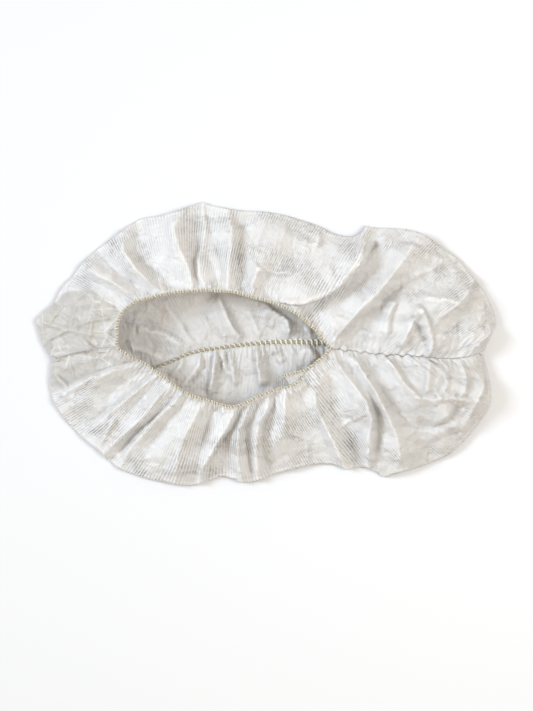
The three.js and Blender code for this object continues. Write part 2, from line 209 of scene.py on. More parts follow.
def section_columns(sections, side):
    """The sections' table as a smooth function of s, at ALONG + 1 values of s that are evenly spaced by rim
    length.  Gives the start points, the rim and sole points, the crown, and a mask that is 1 at the mouth."""
    table, starts = [], []
    for where, rows in sections.items():
        rows = np.array(rows, float)
        if where in SEAMS:
            rows = np.hstack([seam_at(SEAMS[where], rows[:, 0]), rows[:, 1:]])
        table.append(rows)
        starts += [where] * len(rows)
    table, starts, last = np.concatenate(table), np.array(starts), len(starts) - 1
    fine = np.linspace(0, 1, 4001)
    rows = smooth_line(table, fine)
    rim_step = np.hypot(*np.diff(rows[:, 3:5], axis=0).T)
    inner_step = np.linalg.norm(np.diff(rows[:, :3], axis=0), axis=1)
    length = np.concatenate([[0], np.cumsum(np.maximum(rim_step, INNER_SHARE * inner_step))])
    s = np.interp(np.linspace(0, length[-1], ALONG + 1), length, fine)
    rows = smooth_line(table, s)
    before, after = np.floor(s * last).astype(int), np.minimum(np.ceil(s * last).astype(int), last)
    on_mouth = np.ones(ALONG + 1)
    for where, seam in SEAMS.items():
        on = (starts[before] == where) & (starts[after] == where)
        rows[on, :3] = puckered(seam, rows[on, 0])
        rows[on, 1] += side * CLOTH / 2
        on_mouth[on] = 0
    sole = seam_at(SOLE_SEAM, rows[:, 5])
    sole[:, 1] += side * CLOTH / 2
    return rows[:, :3], rows[:, 3:5], sole, rows[:, 6], on_mouth


print(int(section_columns(LEFT_SECTIONS, 1)[4].sum()), "columns of the left panel start at the mouth")

# %% Columns to a surface
SEAM_DIP = [(150, 0.3), (110, 0.65), (60, 0.7), (-121, 0.3)]  # (x, depth) of the groove that a seam lies in
DIP_WIDTH = 1.3
STEEP_SHARE = 0.25  # of a slope's fall, how much lies close to its inner edge


def plain_panel(start, rim, sole, crown, on_mouth):
    """The panel's middle surface.  Down the slope a point moves straight out while its height falls, partly
    as a power of the way gone and partly at once, with a half sine of crown; round the rim it goes half a
    circle; then it runs straight along the ground to the sole seam, with most rows where it is seen."""
    out = np.hypot(*(rim - start[:, :2]).T)[:, None]
    way = (rim - start[:, :2]) / out
    ground = sole[:, 2:3]
    radius = np.minimum(np.minimum(RIM_RADIUS, (start[:, 2:3] - ground) / 2), 0.45 * out)
    t = np.linspace(0, 1, SLOPE_ROWS + 1)[None, :]
    turn = np.pi * np.arange(1, RIM_ROWS + 1)[None, :] / RIM_ROWS
    dip = (1 - on_mouth) * table_along(SEAM_DIP, start[:, 0])[0]
    reach = np.concatenate([t * (out - radius), out - radius + radius * np.sin(turn)], axis=1)
    fall = (1 - STEEP_SHARE) * t**1.3 + STEEP_SHARE * (1 - np.exp(-t / 0.09))
    slope_height = (
        start[:, 2:3]
        + (ground + 2 * radius - start[:, 2:3]) * fall
        + crown[:, None] * np.sin(np.pi * t)
        - dip[:, None] * np.exp(-t * out / DIP_WIDTH)
    )
    height = np.concatenate([slope_height, ground + radius + radius * np.cos(turn)], axis=1)
    upper = np.dstack([start[:, 0:1] + way[:, 0:1] * reach, start[:, 1:2] + way[:, 1:2] * reach, height])
    back = np.interp(np.linspace(0, 1, SOLE_ROWS + 1), [0, 0.25, 1], [0, 0.5, 1])[None, 1:, None]
    lower = upper[:, -1:] * (1 - back) + sole[:, None] * back
    return np.concatenate([upper, lower], axis=1)


left_plain = plain_panel(*section_columns(LEFT_SECTIONS, 1))
print("the plain left panel's grid is", left_plain.shape)

# %% [markdown]
# ## The pleats
#
# The elastic gathers the cloth, and away from it the gathers run together into broad pleats that fan out to
# the rim.  Film-backed cloth creases like paper, so between one crease and the next the cloth is nearly flat.
# Smooth noise would look like a blanket here, so the creases are a table: each is followed from the inner
# edge out to the rim, by its places and how far it stands above the plain panel.  Crests and valleys take
# turns.

# %% Pleat tables: each row is a crease, as (x, y, rise) from the inner edge to the rim, in millimetres
LEFT_PLEATS = [
    [(155, -7, -1), (158, 3, -3), (158, 19, -3), (164, 32, -3), (175, 51, -2.5)],
    [(134, -7, 0), (136, 10, 1), (139, 22, 2), (154, 31, 4), (163, 40, 4), (172, 55, 3.5)],
    [(61, -2, -1), (67, 5, -3), (72, 14, -4), (80, 22, -4.5), (93, 32, -4.5), (104, 43, -4.5),
     (118, 52, -4), (160, 68, -3.5)],
    [(55, -2, 1), (57, 6, 3), (73, 24, 6), (93, 45, 7.5), (112, 69, 7), (127, 91, 6)],
    [(14, 33, -0.5), (34, 32, -1.5), (51, 38, -3), (66, 48, -5), (79, 61, -6), (89, 82, -4),
     (92, 96, -3.5)],
    [(9, 36, 1), (31, 37.5, 4), (47, 44, 6), (61, 55, 7), (72, 67, 7), (81, 85, 5), (82, 96, 4)],
    [(-6, 37.5, -1), (4, 58, -2.5), (24, 75, -2), (40, 98, -1.5)],
    [(-12, 39.5, 1), (-9, 52, 2.5), (-6, 60, 3.5), (-8, 72, 2.5), (-4, 90, 1.5), (2, 106, 1.5)],
    [(-20, 41.5, -1), (-18, 57, -3), (-22, 68, -4), (-21, 82, -3), (-17, 98, -1.5), (-14, 108, -1.5)],
    [(-31, 43.5, 1), (-29, 64, 4), (-27, 79, 5), (-27, 95, 4.5), (-30.5, 110, 4)],
    [(-36, 43.8, -0.5), (-33, 61, -3), (-36, 68, -4), (-40, 82, -4.5), (-45, 98, -4), (-48.5, 111, -3.5)],
    [(-47, 44.3, 1), (-53, 57, 2), (-54, 68, 1.5), (-51, 78, 0), (-48.5, 90, -2), (-50, 108, -2.2)],
    [(-51, 44.5, -1), (-57, 57, -2), (-58, 68, -3), (-55, 78, -3.5), (-51.5, 95, -4), (-52, 112, -3.5)],
    [(-58, 43.8, 1), (-60, 58, 3), (-63, 67, 4.5), (-69.5, 79, 5.5), (-73.5, 94, 4), (-66, 110, 3.5)],
    [(-68, 43, -0.5), (-79, 52, -2.5), (-96, 65, -5), (-104, 78, -5), (-105, 101, -4)],
    [(-78, 41.8, 1), (-91, 48, 2.5), (-104, 61, 4.5), (-114, 76, 5), (-118, 93, 4)],
    [(-88, 39.8, -0.5), (-96, 44, -1.5), (-115, 55, -4), (-127, 65, -4.5), (-137, 77, -4)],
    [(-98, 37, 1), (-110, 42.5, 2), (-132, 55, 3.5), (-144, 63, 3.5), (-150, 66, 3)],
    [(-106, 34, 0), (-125, 45, -2), (-146, 55, -2.5), (-158, 57, -2)],
    [(-112, 30, 1), (-130, 38, 2), (-150, 45, 2.5), (-164, 50, 2)],
]
RIGHT_PLEATS = [
    [(74, -6, -0.5), (81, -14, -2), (92, -31, -3.5), (104, -50, -4.5), (118, -65, -4), (132, -80, -2.5),
     (140, -93, -2)],
    [(66, -7.5, 1), (77, -19, 3), (88, -36, 5), (98, -54, 6), (107, -74, 6.5), (110, -88, 5),
     (108, -103, 4)],
    [(61, -9, -0.5), (71, -20, -1), (84, -38, -2), (91, -54, -3.5), (91.5, -70, -4), (90, -85, -3),
     (91, -101, -2.5)],
    [(55, -8, 1), (61, -19.5, 3), (72, -32, 5), (82, -46, 6.5), (86, -60, 7), (84, -76, 6), (83, -98, 5)],
    [(48, -9, -1), (52, -33, -4), (54, -52, -5), (67, -71, -5), (72, -88, -4), (75, -99, -3.5)],
    [(38, -17, 1), (42, -33, 2), (41, -48, 3), (50, -69, 4.5), (58, -84, 5), (64, -99, 4)],
    [(24, -31, -1), (30, -47, -3), (42, -65, -2.5), (51, -82, -1.5), (55, -97, -1.5)],
    [(16, -34, 1), (15, -45, 3.5), (16, -55, 4), (15, -70, 3), (16, -85, 2), (22, -99, 1.5)],
    [(8, -36, -1), (7, -49, -3), (1, -60, -4.5), (-2, -70, -4), (-3, -80, -3), (3, -103, -2.5)],
    [(3, -37.5, 1), (2, -50, 3), (-4, -62, 5), (-6.5, -74, 5), (-7, -88, 4), (-5, -107, 3.5)],
    [(-5, -41, -1.5), (-8, -52, -3.2), (-15.5, -66, -4.5), (-15.5, -78, -4.5), (-13.5, -91, -4),
     (-11, -108, -3.5)],
    [(-12, -44.5, 1), (-15, -56, 3), (-21, -68, 5), (-22, -80, 5.5), (-22, -95, 4.5), (-20, -110, 4)],
    [(-17, -46.5, -1), (-22, -58, -3), (-30, -72, -4), (-38, -84, -4.5), (-45, -96, -4), (-46, -109, -3.5)],
    [(-22, -48.3, 1), (-28, -60, 3), (-35, -74, 4.5), (-43, -87, 4.5), (-51, -98, 3), (-53, -111, 2.5)],
    [(-36, -47.5, -1), (-45, -58, -3), (-49.5, -70, -4), (-53.5, -87, -3.5), (-58, -112, -3)],
    [(-46, -44.5, 1), (-53, -52, 3), (-59.5, -63, 5), (-66, -75, 6), (-70, -88, 5), (-73, -112, 4)],
    [(-62, -38.8, -0.5), (-66, -46, -2), (-78, -60, -3.5), (-90, -76, -3.5), (-99, -95, -2),
     (-103, -106, -1.5)],
    [(-66, -36.5, 0.5), (-72, -45, 2), (-86, -58, 3), (-96, -68, 2.5), (-108, -82, 2), (-117, -99, 1.5)],
    [(-70, -34, -0.5), (-78, -46, -2), (-90, -58, -3), (-103, -70, -4), (-114, -82, -4), (-125, -94, -3.5)],
    [(-76, -30, 0.5), (-88, -44, 3), (-97, -57, 3.5), (-108, -67, 4), (-120, -78, 3.5), (-132, -88, 3)],
    [(-82, -26, -0.3), (-97, -40, -1.5), (-106, -50, -1.5), (-116, -61, 0), (-130, -72, 2),
     (-142, -80, 1.5)],
    [(-86, -23, 0.5), (-100, -34, 2), (-112, -43, 3), (-122, -52, 2), (-136, -64, 0.5), (-149, -75, 0.5)],
    [(-88, -21.5, -0.5), (-106, -35, -2.5), (-121, -46, -4), (-140, -60, -4.5), (-157, -70, -4)],
    [(-98, -14.5, 1), (-121, -20, 4), (-140, -26, 5), (-156, -35, 4.5), (-170, -44, 4)],
    [(-103, -12, -0.5), (-122, -15.5, -1.5), (-140, -21, -2), (-157, -29, -2), (-172, -38, -1.5)],
]
print(len(LEFT_PLEATS) + len(RIGHT_PLEATS), "pleat creases")

# %% Pleating the plain panel
CREST_POWER = 1.25  # over 1, so crests are a little sharper than valleys
PAST_LAST = 16  # columns from the last crease at each end to plain cloth


def pleat_rise(cloth, pleats):
    """Each crease's places are found on the grid as the nearest points of the slope, which gives its column
    and its rise as functions of the row.  Along each row the cloth then rises from valley to crest as the
    CREST_POWER of the way between them.  Each column takes the mean of seven heights round it, so a slanting
    crest has no steps.  Round the rim the rise dies out as half of 1 + cosine."""
    slope = cloth[:, : SLOPE_ROWS + 1, :2]
    rows = np.arange(SLOPE_ROWS + 1)
    columns, rises = [], []
    for crease in pleats:
        x, y, rise = np.array(crease, float).T
        gap = ((slope[None] - np.stack([x, y], axis=1)[:, None, None]) ** 2).sum(3).reshape(len(x), -1)
        column, row = np.divmod(gap.argmin(1), SLOPE_ROWS + 1)
        order = np.argsort(row, kind="stable")
        columns.append(np.interp(rows, row[order], column[order]))
        rises.append(np.interp(rows, row[order], rise[order]))
    columns = np.maximum.accumulate(np.array(columns) + 0.01 * np.arange(len(pleats))[:, None], axis=0)
    columns = np.concatenate([columns[:1] - PAST_LAST, columns, columns[-1:] + PAST_LAST])
    rises = np.pad(np.array(rises), ((1, 1), (0, 0)))
    spread = np.linspace(-0.75, 0.75, 7)
    at = (np.arange(len(cloth))[:, None] + spread).ravel()
    share = (1 - np.abs(spread)) / (1 - np.abs(spread)).sum()
    lift = np.zeros(cloth.shape[:2])
    for r in rows:
        place = np.interp(at, columns[:, r], np.arange(len(columns)))
        before = np.minimum(place.astype(int), len(columns) - 2)
        first, second = rises[before, r], rises[before + 1, r]
        to_crest = np.where(second > first, place - before, 1 - (place - before))
        height = np.minimum(first, second) + np.abs(second - first) * to_crest**CREST_POWER
        lift[:, r] = height.reshape(-1, len(spread)) @ share
    round_rim = (1 + np.cos(np.pi * np.arange(1, RIM_ROWS) / RIM_ROWS)) / 2
    lift[:, SLOPE_ROWS + 1 : SLOPE_ROWS + RIM_ROWS] = lift[:, SLOPE_ROWS : SLOPE_ROWS + 1] * round_rim
    return lift


print("pleats stand up to", max(place[2] for crease in LEFT_PLEATS + RIGHT_PLEATS for place in crease), "mm")

# %% [markdown]
# ## Single folds
#
# Folds that don't run from the mouth to the rim are rows of another table: the line that the crest follows,
# how high it stands, how wide its two flanks are, and how far its crest leans over to the toe side.  The same
# kind of table describes the folds of the sole cloth, seen through the mouth.

# %% Fold tables: (points of the crest, rise, heel flank, toe flank, lean), in millimetres
LEFT_FOLDS = [
    ([(9, 36), (31, 37), (47, 43), (61, 53), (72, 65), (81, 84)], 2.5, 12, 3, 3.0),
    ([(41, 80), (44, 90), (45, 98)], 3.5, 5, 3, 0),
    ([(-7, 61), (8, 59), (24, 58)], 2, 3, 6, 0),
    ([(106, 37), (100, 23), (98, 8)], 3, 8, 3, 0),
    ([(125, 33), (117, 14), (109, -2)], 4.5, 7, 5, 0),
    ([(118, 24), (130, 2)], -2.5, 4, 4, 0),
    ([(125, 32), (131, 19), (134, 6), (134, -8)], 3, 5, 2.5, 0.5),
    ([(128, 40), (150, 36), (158, 34)], 2, 4, 4, 0),
    ([(186, 18), (179, 7), (171, -2)], 3, 5, 4, 0),
    ([(150, 73), (136, 62), (120, 56)], 1.5, 4, 4, 0),
    ([(-158, 13), (-155, 24), (-152, 34)], 1.6, 3, 2.5, 0),
    ([(-183, 19.5), (-158, 12.6), (-130, 6.8)], 1.8, 3, 2.5, 0),
    ([(-175, 18), (-169, 26), (-163, 33)], 1.4, 3, 2, 0),
    ([(-139, 30), (-132, 25), (-125, 21)], 1.5, 2.5, 2, 0),
    ([(-156, 14), (-142, 19.5), (-126, 22)], 1.3, 2.5, 2.5, 0),
    ([(-180, 3), (-167, 9), (-159, 12.6)], 1.5, 3, 2, 0),
    ([(-150, 8), (-144, 2), (-138, -2)], 1.3, 2.5, 2, 0),
    ([(-142, 4), (-139, 20)], 1.0, 2, 2, 0),
]
RIGHT_FOLDS = [
    ([(97, -8), (105.5, -19.5), (112.5, -31), (126, -43)], 4, 8, 5, 0),
    ([(119, -42), (138, -44), (154, -43), (170, -45)], 2.6, 7, 3, 0),
    ([(133, -11), (132, -26), (130, -40)], 2.2, 3, 5, 0),
    ([(145, -22), (148, -30), (144, -38)], 1.2, 3, 3, 0),
    ([(158, -12), (163, -27), (159, -42)], 1.8, 3, 4, 0),
    ([(157, -47), (151, -58), (139, -66), (122, -64)], -3, 5, 6, 0),
    ([(181, -24), (174, -40), (168, -54), (165, -72)], 5, 9, 7, 0),
    ([(-175, -20), (-168, -28), (-160, -35)], 2.5, 4, 4, 0),
    ([(62, -66), (68, -62), (74, -60)], 2, 3, 3, 0),
    ([(-134, -82), (-128, -70), (-121, -58)], 2, 3, 3, 0),
    ([(-174, -22), (-167, -27), (-160, -33)], 1.4, 2.5, 2, 0),
    ([(-158, -14), (-156, -22), (-155, -28)], 1.5, 2.5, 2, 0),
]
print(len(LEFT_FOLDS) + len(RIGHT_FOLDS), "single folds")

# %% Folds inside, on the sole, with the same columns
LEFT_SOLE_FOLDS = [
    ([(-105, 16), (-95, 14), (-83, 10.5), (-64, 0)], 4, 13, 2, 0),
    ([(-113, -0.5), (-100, -1.2), (-91, -6.5), (-81, -8)], 2.5, 8, 2, 0),
    ([(-99, -12.5), (-84, -10)], 1.5, 2, 5, 0),
    ([(-85, 38), (-78.5, 30), (-70, 19), (-63, 7.5), (-57, 0.5)], 2.2, 9, 3, 0),
    ([(-51, 24), (-44, 10)], 1.8, 3, 3, 0),
    ([(-42, 30), (-36, 12), (-32, 4)], 1.8, 3, 2, 0),
    ([(-58, 14), (-48, 8)], 1.5, 3, 3, 0),
    ([(-40, 42), (-33, 26), (-26, 12), (-18, 4.5)], 4.5, 14, 2.2, 1.5),
    ([(-20, 39), (-8, 34.5), (1, 33)], 1.5, 3, 5, 0),
    ([(-14, 30), (-8, 16), (-4, 7)], 2, 6, 5, 0),
    ([(-0.5, 33), (11, 24.5), (18, 19), (19.5, 6)], 5, 12, 2.2, 1),
    ([(34, 16), (37, 8), (38, 3)], 2.5, 5, 5, 0),
]
RIGHT_SOLE_FOLDS = [
    ([(-66, -9), (-70, -18), (-78, -27)], 2, 5, 3, 0),
    ([(-53, -5), (-54.5, -18), (-63, -29), (-69, -36)], 3, 8, 2.5, 0),
    ([(-40.5, -5), (-43, -26), (-46, -40)], 5, 2.5, 6, 0),
    ([(-35.5, -5), (-34, -15), (-27.5, -27)], 3, 2, 5, 0),
    ([(-30, -5), (-27, -18), (-24.5, -33)], 3, 2.5, 7, 0),
    ([(-7, -2), (-6, -15), (-3.5, -34)], 4.5, 3, 11, 0),
    ([(7, 1), (9, -6), (14, -14)], 2.5, 3, 6, 0),
    ([(20, 1), (23, -7)], 2, 3, 4, 0),
    ([(33, 1), (38, -5), (43, -12)], 3.5, 15, 4, 0),
]
print(len(LEFT_SOLE_FOLDS) + len(RIGHT_SOLE_FOLDS), "folds on the sole")

# %% Folding the pleated panel


def raise_folds(cloth, folds):
    """Each fold lifts a point by its rise, less in proportion to the point's distance from the crest's line,
    down to nothing at the flank's width, and pushes it towards the toe by its lean in the same way."""
    plan = cloth[..., :2].reshape(-1, 2)
    shift = np.zeros((len(plan), 3))
    for points, rise, heel_flank, toe_flank, lean in folds:
        crest = smooth_line(points, np.linspace(0, 1, 25))
        start, run = crest[:-1], np.diff(crest, axis=0)
        off = plan[:, None] - start
        u = np.clip((off * run).sum(2) / (run**2).sum(1), 0, 1)
        gap = np.linalg.norm(off - u[..., None] * run, axis=2)
        k = gap.argmin(1)
        each = np.arange(len(k))
        toe_way = np.stack([run[k, 1], -run[k, 0]], axis=1)
        toe_way *= np.where(toe_way[:, :1] < 0, -1, 1) / np.linalg.norm(toe_way, axis=1, keepdims=True)
        on_toe_side = (off[each, k] * toe_way).sum(1) > 0
        along = (k + u[each, k]) / len(start)
        ends = np.clip(along / 0.12, 0.25, 1) * np.clip((1 - along) / 0.15, 0.25, 1)
        share = np.clip(1 - gap[each, k] / np.where(on_toe_side, toe_flank, heel_flank), 0, 1)
        share = ends * share**CREST_POWER
        shift[:, 2] += rise * share
        shift[:, :2] += lean * share[:, None] * toe_way
    return shift.reshape(cloth.shape)


one_fold = raise_folds(np.zeros((1, 1, 3)), [([(-9, 0), (9, 0)], 2, 5, 5, 0)])
print("on its crest a 2 mm fold lifts the cloth", one_fold[0, 0, 2], "mm")

# %% [markdown]
# ## Letting the cloth settle
#
# Drawn folds look drawn.  Real film cloth hardly stretches, so wherever there is more of it than room it
# buckles, and the buckles run into each other.  Blender's own cloth would do this, but it has to be told
# where every gather starts; a small relaxation on the grid itself is faster and gives the same result on each
# run.  Each step pulls every thread of the grid back to the length that it was woven with.

# %% Relaxing a grid of cloth
THREAD, SLANT, DRIFT = 0.9, 0.3, 0.9  # how firmly threads and slants keep their length; speed kept a step


def neighbour_pairs(along, down, goal, bend):
    """All pairs of grid points whose distance the cloth keeps, as (first, second, distance, firmness), in
    groups in which no point comes twice.  Threads along and down keep the woven length; slants keep the
    diagonal of the woven cell, by the cosine rule; pairs two apart keep their share of the goal's distance,
    which is the cloth's stiffness against bending."""
    n, m = goal.shape[0] - 1, goal.shape[1] - 1
    side_a, side_b = np.diff(goal, axis=0)[:, :-1], np.diff(goal, axis=1)[:-1]
    lengths = np.linalg.norm(side_a, axis=2) * np.linalg.norm(side_b, axis=2) + 1e-9
    cosine = (side_a * side_b).sum(2) / lengths
    w, h = (along[:, :-1] + along[:, 1:]) / 2, (down[:-1] + down[1:]) / 2
    slant_a = np.sqrt(np.maximum(w**2 + h**2 + 2 * cosine * w * h, 1e-6))
    slant_b = np.sqrt(np.maximum(w**2 + h**2 - 2 * cosine * w * h, 1e-6))
    whole, but_last, but_first = slice(None), slice(0, m), slice(1, m + 1)
    pairs = []
    for k in (0, 1):
        here, next_one = slice(k, n, 2), slice(k + 1, n + 1, 2)
        pairs.append(((here, whole), (next_one, whole), along[k::2], THREAD))
        pairs.append(((whole, slice(k, m, 2)), (whole, slice(k + 1, m + 1, 2)), down[:, k::2], THREAD))
        pairs.append(((here, but_last), (next_one, but_first), slant_a[k::2], SLANT))
        pairs.append(((here, but_first), (next_one, but_last), slant_b[k::2], SLANT))
    goal_along, goal_down = (np.linalg.norm(np.diff(goal, axis=k), axis=2) + 1e-9 for k in (0, 1))
    two_along = np.linalg.norm(goal[2:] - goal[:-2], axis=2) * (along[:-1] + along[1:])
    two_along /= goal_along[:-1] + goal_along[1:]
    two_down = np.linalg.norm(goal[:, 2:] - goal[:, :-2], axis=2) * (down[:, :-1] + down[:, 1:])
    two_down /= goal_down[:, :-1] + goal_down[:, 1:]
    for k in range(4):
        pairs.append(((slice(k, n - 1, 4), whole), (slice(k + 2, n + 1, 4), whole), two_along[k::4], bend))
        pairs.append(((whole, slice(k, m - 1, 4)), (whole, slice(k + 2, m + 1, 4)), two_down[:, k::4], bend))
    return pairs


def relax(cloth, rest_along, rest_down, goal, pull, held, low, high, steps, bend):
    """Position-based cloth.  The points drift on with a tenth of their speed lost at each step, are drawn
    towards the goal by a small share, and then each pair of neighbours is moved together or apart until its
    distance is the woven one.  Heights stay between low and high."""
    x = cloth.astype(np.float32)
    goal = goal.astype(np.float32)
    free = (~held)[..., None].astype(np.float32)
    pairs = neighbour_pairs(rest_along.astype(np.float32), rest_down.astype(np.float32), goal, bend)
    before = x.copy()
    for _ in range(steps):
        speed = (x - before) * DRIFT
        before = x.copy()
        x += free * (speed + pull * (goal - x))
        for first, second, rest, firm in pairs:
            gap = x[second] - x[first]
            size = np.sqrt((gap * gap).sum(-1, keepdims=True)) + 1e-9
            move = firm * (1 - rest[..., None] / size) * gap / (free[first] + free[second] + 1e-9)
            x[first] += free[first] * move
            x[second] -= free[second] * move
        np.clip(x[..., 2], low, high, out=x[..., 2])
    return x.astype(float)


square = np.dstack(np.meshgrid(np.arange(5.0), np.arange(5.0), [0.0], indexing="ij"))
square_pairs = neighbour_pairs(np.ones((4, 5)), np.ones((5, 4)), square, 0.03)
print("a 5 by 5 grid has", len(square_pairs), "groups of pairs")

# %% Finer and coarser grids


def soften(height, times):
    """Averages each height with its neighbours, (1, 2, 1) / 4 both ways, so a crease gets a small radius."""
    for _ in range(times):
        for axis in (0, 1):
            h = np.moveaxis(height, axis, 0)
            p = np.concatenate([h[:1], h, h[-1:]])
            height = np.moveaxis((p[:-2] + 2 * h + p[2:]) / 4, 0, axis)
    return height


def refine(grid):
    """Puts a point between each two neighbours along both ways: (-1, 9, 9, -1) / 16 of the four nearest."""
    for axis in (0, 1):
        g = np.moveaxis(grid, axis, 0)
        p = np.concatenate([2 * g[:1] - g[1:2], g, 2 * g[-1:] - g[-2:-1]])
        between = (9 * (p[1:-2] + p[2:-1]) - p[:-3] - p[3:]) / 16
        out = np.empty((2 * len(g) - 1,) + g.shape[1:])
        out[::2], out[1::2] = g, between
        grid = np.moveaxis(out, 0, axis)
    return grid


print("a 5 by 5 grid refines to", refine(square).shape[:2])

# %% [markdown]
# ## Chance
#
# Two kinds of unevenness are needed.  How full the gathers are changes smoothly along the edge, which is
# noise joined by cubics.  Crumpled film is flat between straight creases instead.  The cells round scattered
# points have straight edges, so a height made from the distances to such points gives it.

# %% Smooth noise and crumpled facets


def noise(rng, shape, size):
    """Smooth noise between about -1 and 1: random heights every `size` grid steps, joined by cubics."""
    n, m = (int(np.ceil(k / s)) + 3 for k, s in zip(shape, size))
    coarse = rng.uniform(-1, 1, (n, m))
    rows = smooth_line(coarse, np.linspace(0, (shape[0] - 1) / size[0] / (n - 1), shape[0]))
    return smooth_line(rows.T, np.linspace(0, (shape[1] - 1) / size[1] / (m - 1), shape[1])).T


def wander(rng, count, length, wave):
    """A phase that grows by a full turn for each `wave` of length, at a rate that wanders by half."""
    pace = smooth_line(rng.uniform(0.35, 1.65, (count // 9 + 2, 1)), np.linspace(0, 1, count))[:, 0]
    return np.cumsum(2 * np.pi * length / wave * pace) + rng.uniform(0, 2 * np.pi)


def facets(rng, along, down, spacing, tilt):
    """A creased, crumpled height: c * (b^2 - a^2), where a and b are the distances to the nearest of two sets
    of scattered points.  The squares of the distances cancel, so between the creases it is flat, and it
    slopes there by about `tilt`.  The points lie one to a cell of the given spacing, along and down, so
    only the cells round each place are looked at."""
    place = np.stack([along / spacing[0], down / spacing[1]], axis=-1) + 3
    cell = place.astype(int)
    size = cell.reshape(-1, 2).max(0) + 4
    near = []
    for _ in range(2):
        spots = rng.uniform(0.05, 0.95, (*size, 2))
        best = np.full(along.shape, np.inf)
        for di in range(-2, 3):
            for dj in range(-2, 3):
                other = cell + (di, dj)
                gap = other + spots[other[..., 0], other[..., 1]] - place
                best = np.minimum(best, (gap * gap).sum(-1))
        near.append(best)
    return tilt * min(spacing) * (near[1] - near[0])


print("the noise reaches", abs(noise(np.random.default_rng(0), (50, 50), (9, 9))).max().round(2))

# %% [markdown]
# ## Gathers
#
# The elastic draws a long edge into a short one.  How full the cloth is, and how far its gathers reach, is
# not the same all round: a table gives both along the mouth and the seams.

# %% Fullness tables: (x, fullness, reach in millimetres), from toe to heel
LEFT_FULLNESS = [
    (180, 0.03, 6), (150, 0.04, 6), (130, 0.12, 7), (100, 0.07, 7), (60, 0.2, 8), (40, 0.12, 9),
    (15, 0.22, 12), (-8, 0.3, 9), (-35, 0.28, 8), (-60, 0.12, 9), (-95, 0.12, 8), (-112, 0.15, 8),
    (-125, 0.03, 8), (-175, 0.02, 8),
]
RIGHT_FULLNESS = [
    (180, 0.03, 6), (150, 0.04, 6), (130, 0.06, 7), (100, 0.06, 7), (60, 0.16, 9), (40, 0.22, 12),
    (20, 0.22, 12), (0, 0.25, 10), (-20, 0.25, 9), (-45, 0.28, 10), (-65, 0.25, 10), (-90, 0.22, 10),
    (-112, 0.15, 8), (-125, 0.03, 8), (-175, 0.02, 8),
]
LEFT_SOLE_FULLNESS = [(180, 0.1, 12), (60, 0.12, 10), (0, 0.08, 8), (-60, 0.08, 8), (-175, 0.1, 20)]
RIGHT_SOLE_FULLNESS = [
    (180, 0.1, 12), (60, 0.2, 12), (0, 0.18, 13), (-60, 0.18, 13), (-85, 0.1, 12), (-175, 0.1, 20),
]
print("at its fullest the mouth's edge takes in", max(row[1] for row in LEFT_FULLNESS), "of its length more")

# %% Masks on the grid: by row from the inner edge to the sole seam, and by column from toe to heel
ROW, COLUMN = np.arange(ROWS + 1), np.arange(ALONG + 1)
DOWN_SLOPE = ramp(ROW, SLOPE_ROWS)
ON_SLOPE = ramp(DOWN_SLOPE, 0.08) * ramp(1 - DOWN_SLOPE, 0.1)
ON_SOLE = ramp(ROW - SLOPE_ROWS - RIM_ROWS, 3)
OFF_SOLE_SEAM = ramp(ROWS - ROW, 3)
FROM_MID_RIM = np.abs(ROW - SLOPE_ROWS - RIM_ROWS / 2)
OFF_ENDS = ramp(np.minimum(COLUMN, ALONG - COLUMN), 8)[:, None]
OFF_EDGES = ramp(ROW, 4) * OFF_SOLE_SEAM * (1 - 0.6 * ON_SOLE) * np.clip(FROM_MID_RIM / 12, 0.12, 1)
HELD = np.zeros((ALONG + 1, ROWS + 1), bool)  # the seams and the mouth's edge stay where they are
HELD[0], HELD[-1], HELD[:, 0], HELD[:, -1] = True, True, True, True
print(int((ON_SOLE > 0).sum()), "rows lie on the sole, and", int(HELD.sum()), "points are held")

# %% Distances on the cloth and the way out of it


def distances(plain):
    """How far each point is along the cloth from its inner edge and from the sole seam, and how wide the
    strip between neighbouring columns is at the rim, as a mean of 13 of them."""
    down = np.linalg.norm(np.diff(plain, axis=1), axis=2)
    from_edge = np.concatenate([np.zeros((ALONG + 1, 1)), np.cumsum(down, axis=1)], axis=1)
    strip = np.linalg.norm(np.diff(plain[:, SLOPE_ROWS + RIM_ROWS // 2], axis=0), axis=1)
    strip = np.convolve(np.pad(strip, 6, "edge"), np.ones(13) / 13, "valid")
    return from_edge, from_edge[:, -1:] - from_edge, strip


def outwards(plain, strip, side):
    """The unit vector out of the cloth at each point, straight up on the sole; and `roomy`, the area of a
    grid cell as a share of what its thread lengths would give, which is small where columns shear."""
    step_down = np.gradient(plain, axis=1)
    across = np.cross(step_down, np.gradient(plain, axis=0)) * side
    area = np.linalg.norm(across, axis=2)
    across /= area[..., None] + 1e-9
    full_area = np.linalg.norm(step_down, axis=2) * np.append(strip, strip[-1])[:, None]
    roomy = soften(np.clip(area / (full_area + 1e-9), 0.05, 1), 2)
    across = across * (1 - ON_SOLE)[None, :, None] + np.array([0, 0, 1.0]) * ON_SOLE[None, :, None]
    return across, roomy


print("the left panel is up to", round(distances(left_plain)[0].max()), "mm deep")

# %% Gathers along an edge
GATHER_WAVES = [(3.5, 0.3), (6, 0.65), (11, 0.7), (19, 0.7)]  # (wave length, height), in millimetres
FULL = 0.5  # the fullness at which gathers have the height of the table
SOLE_HIGHER = 1.3  # the sole's gathers, as a multiple of the edge's
SPARE = 0.015


def fading(distance, wave, reach):
    """1 - exp(-distance / (0.15 wave)), which starts the gathers at an edge, times exp(-distance / reach)."""
    return (1 - np.exp(-distance / (0.15 * wave))) * np.exp(-distance / reach)


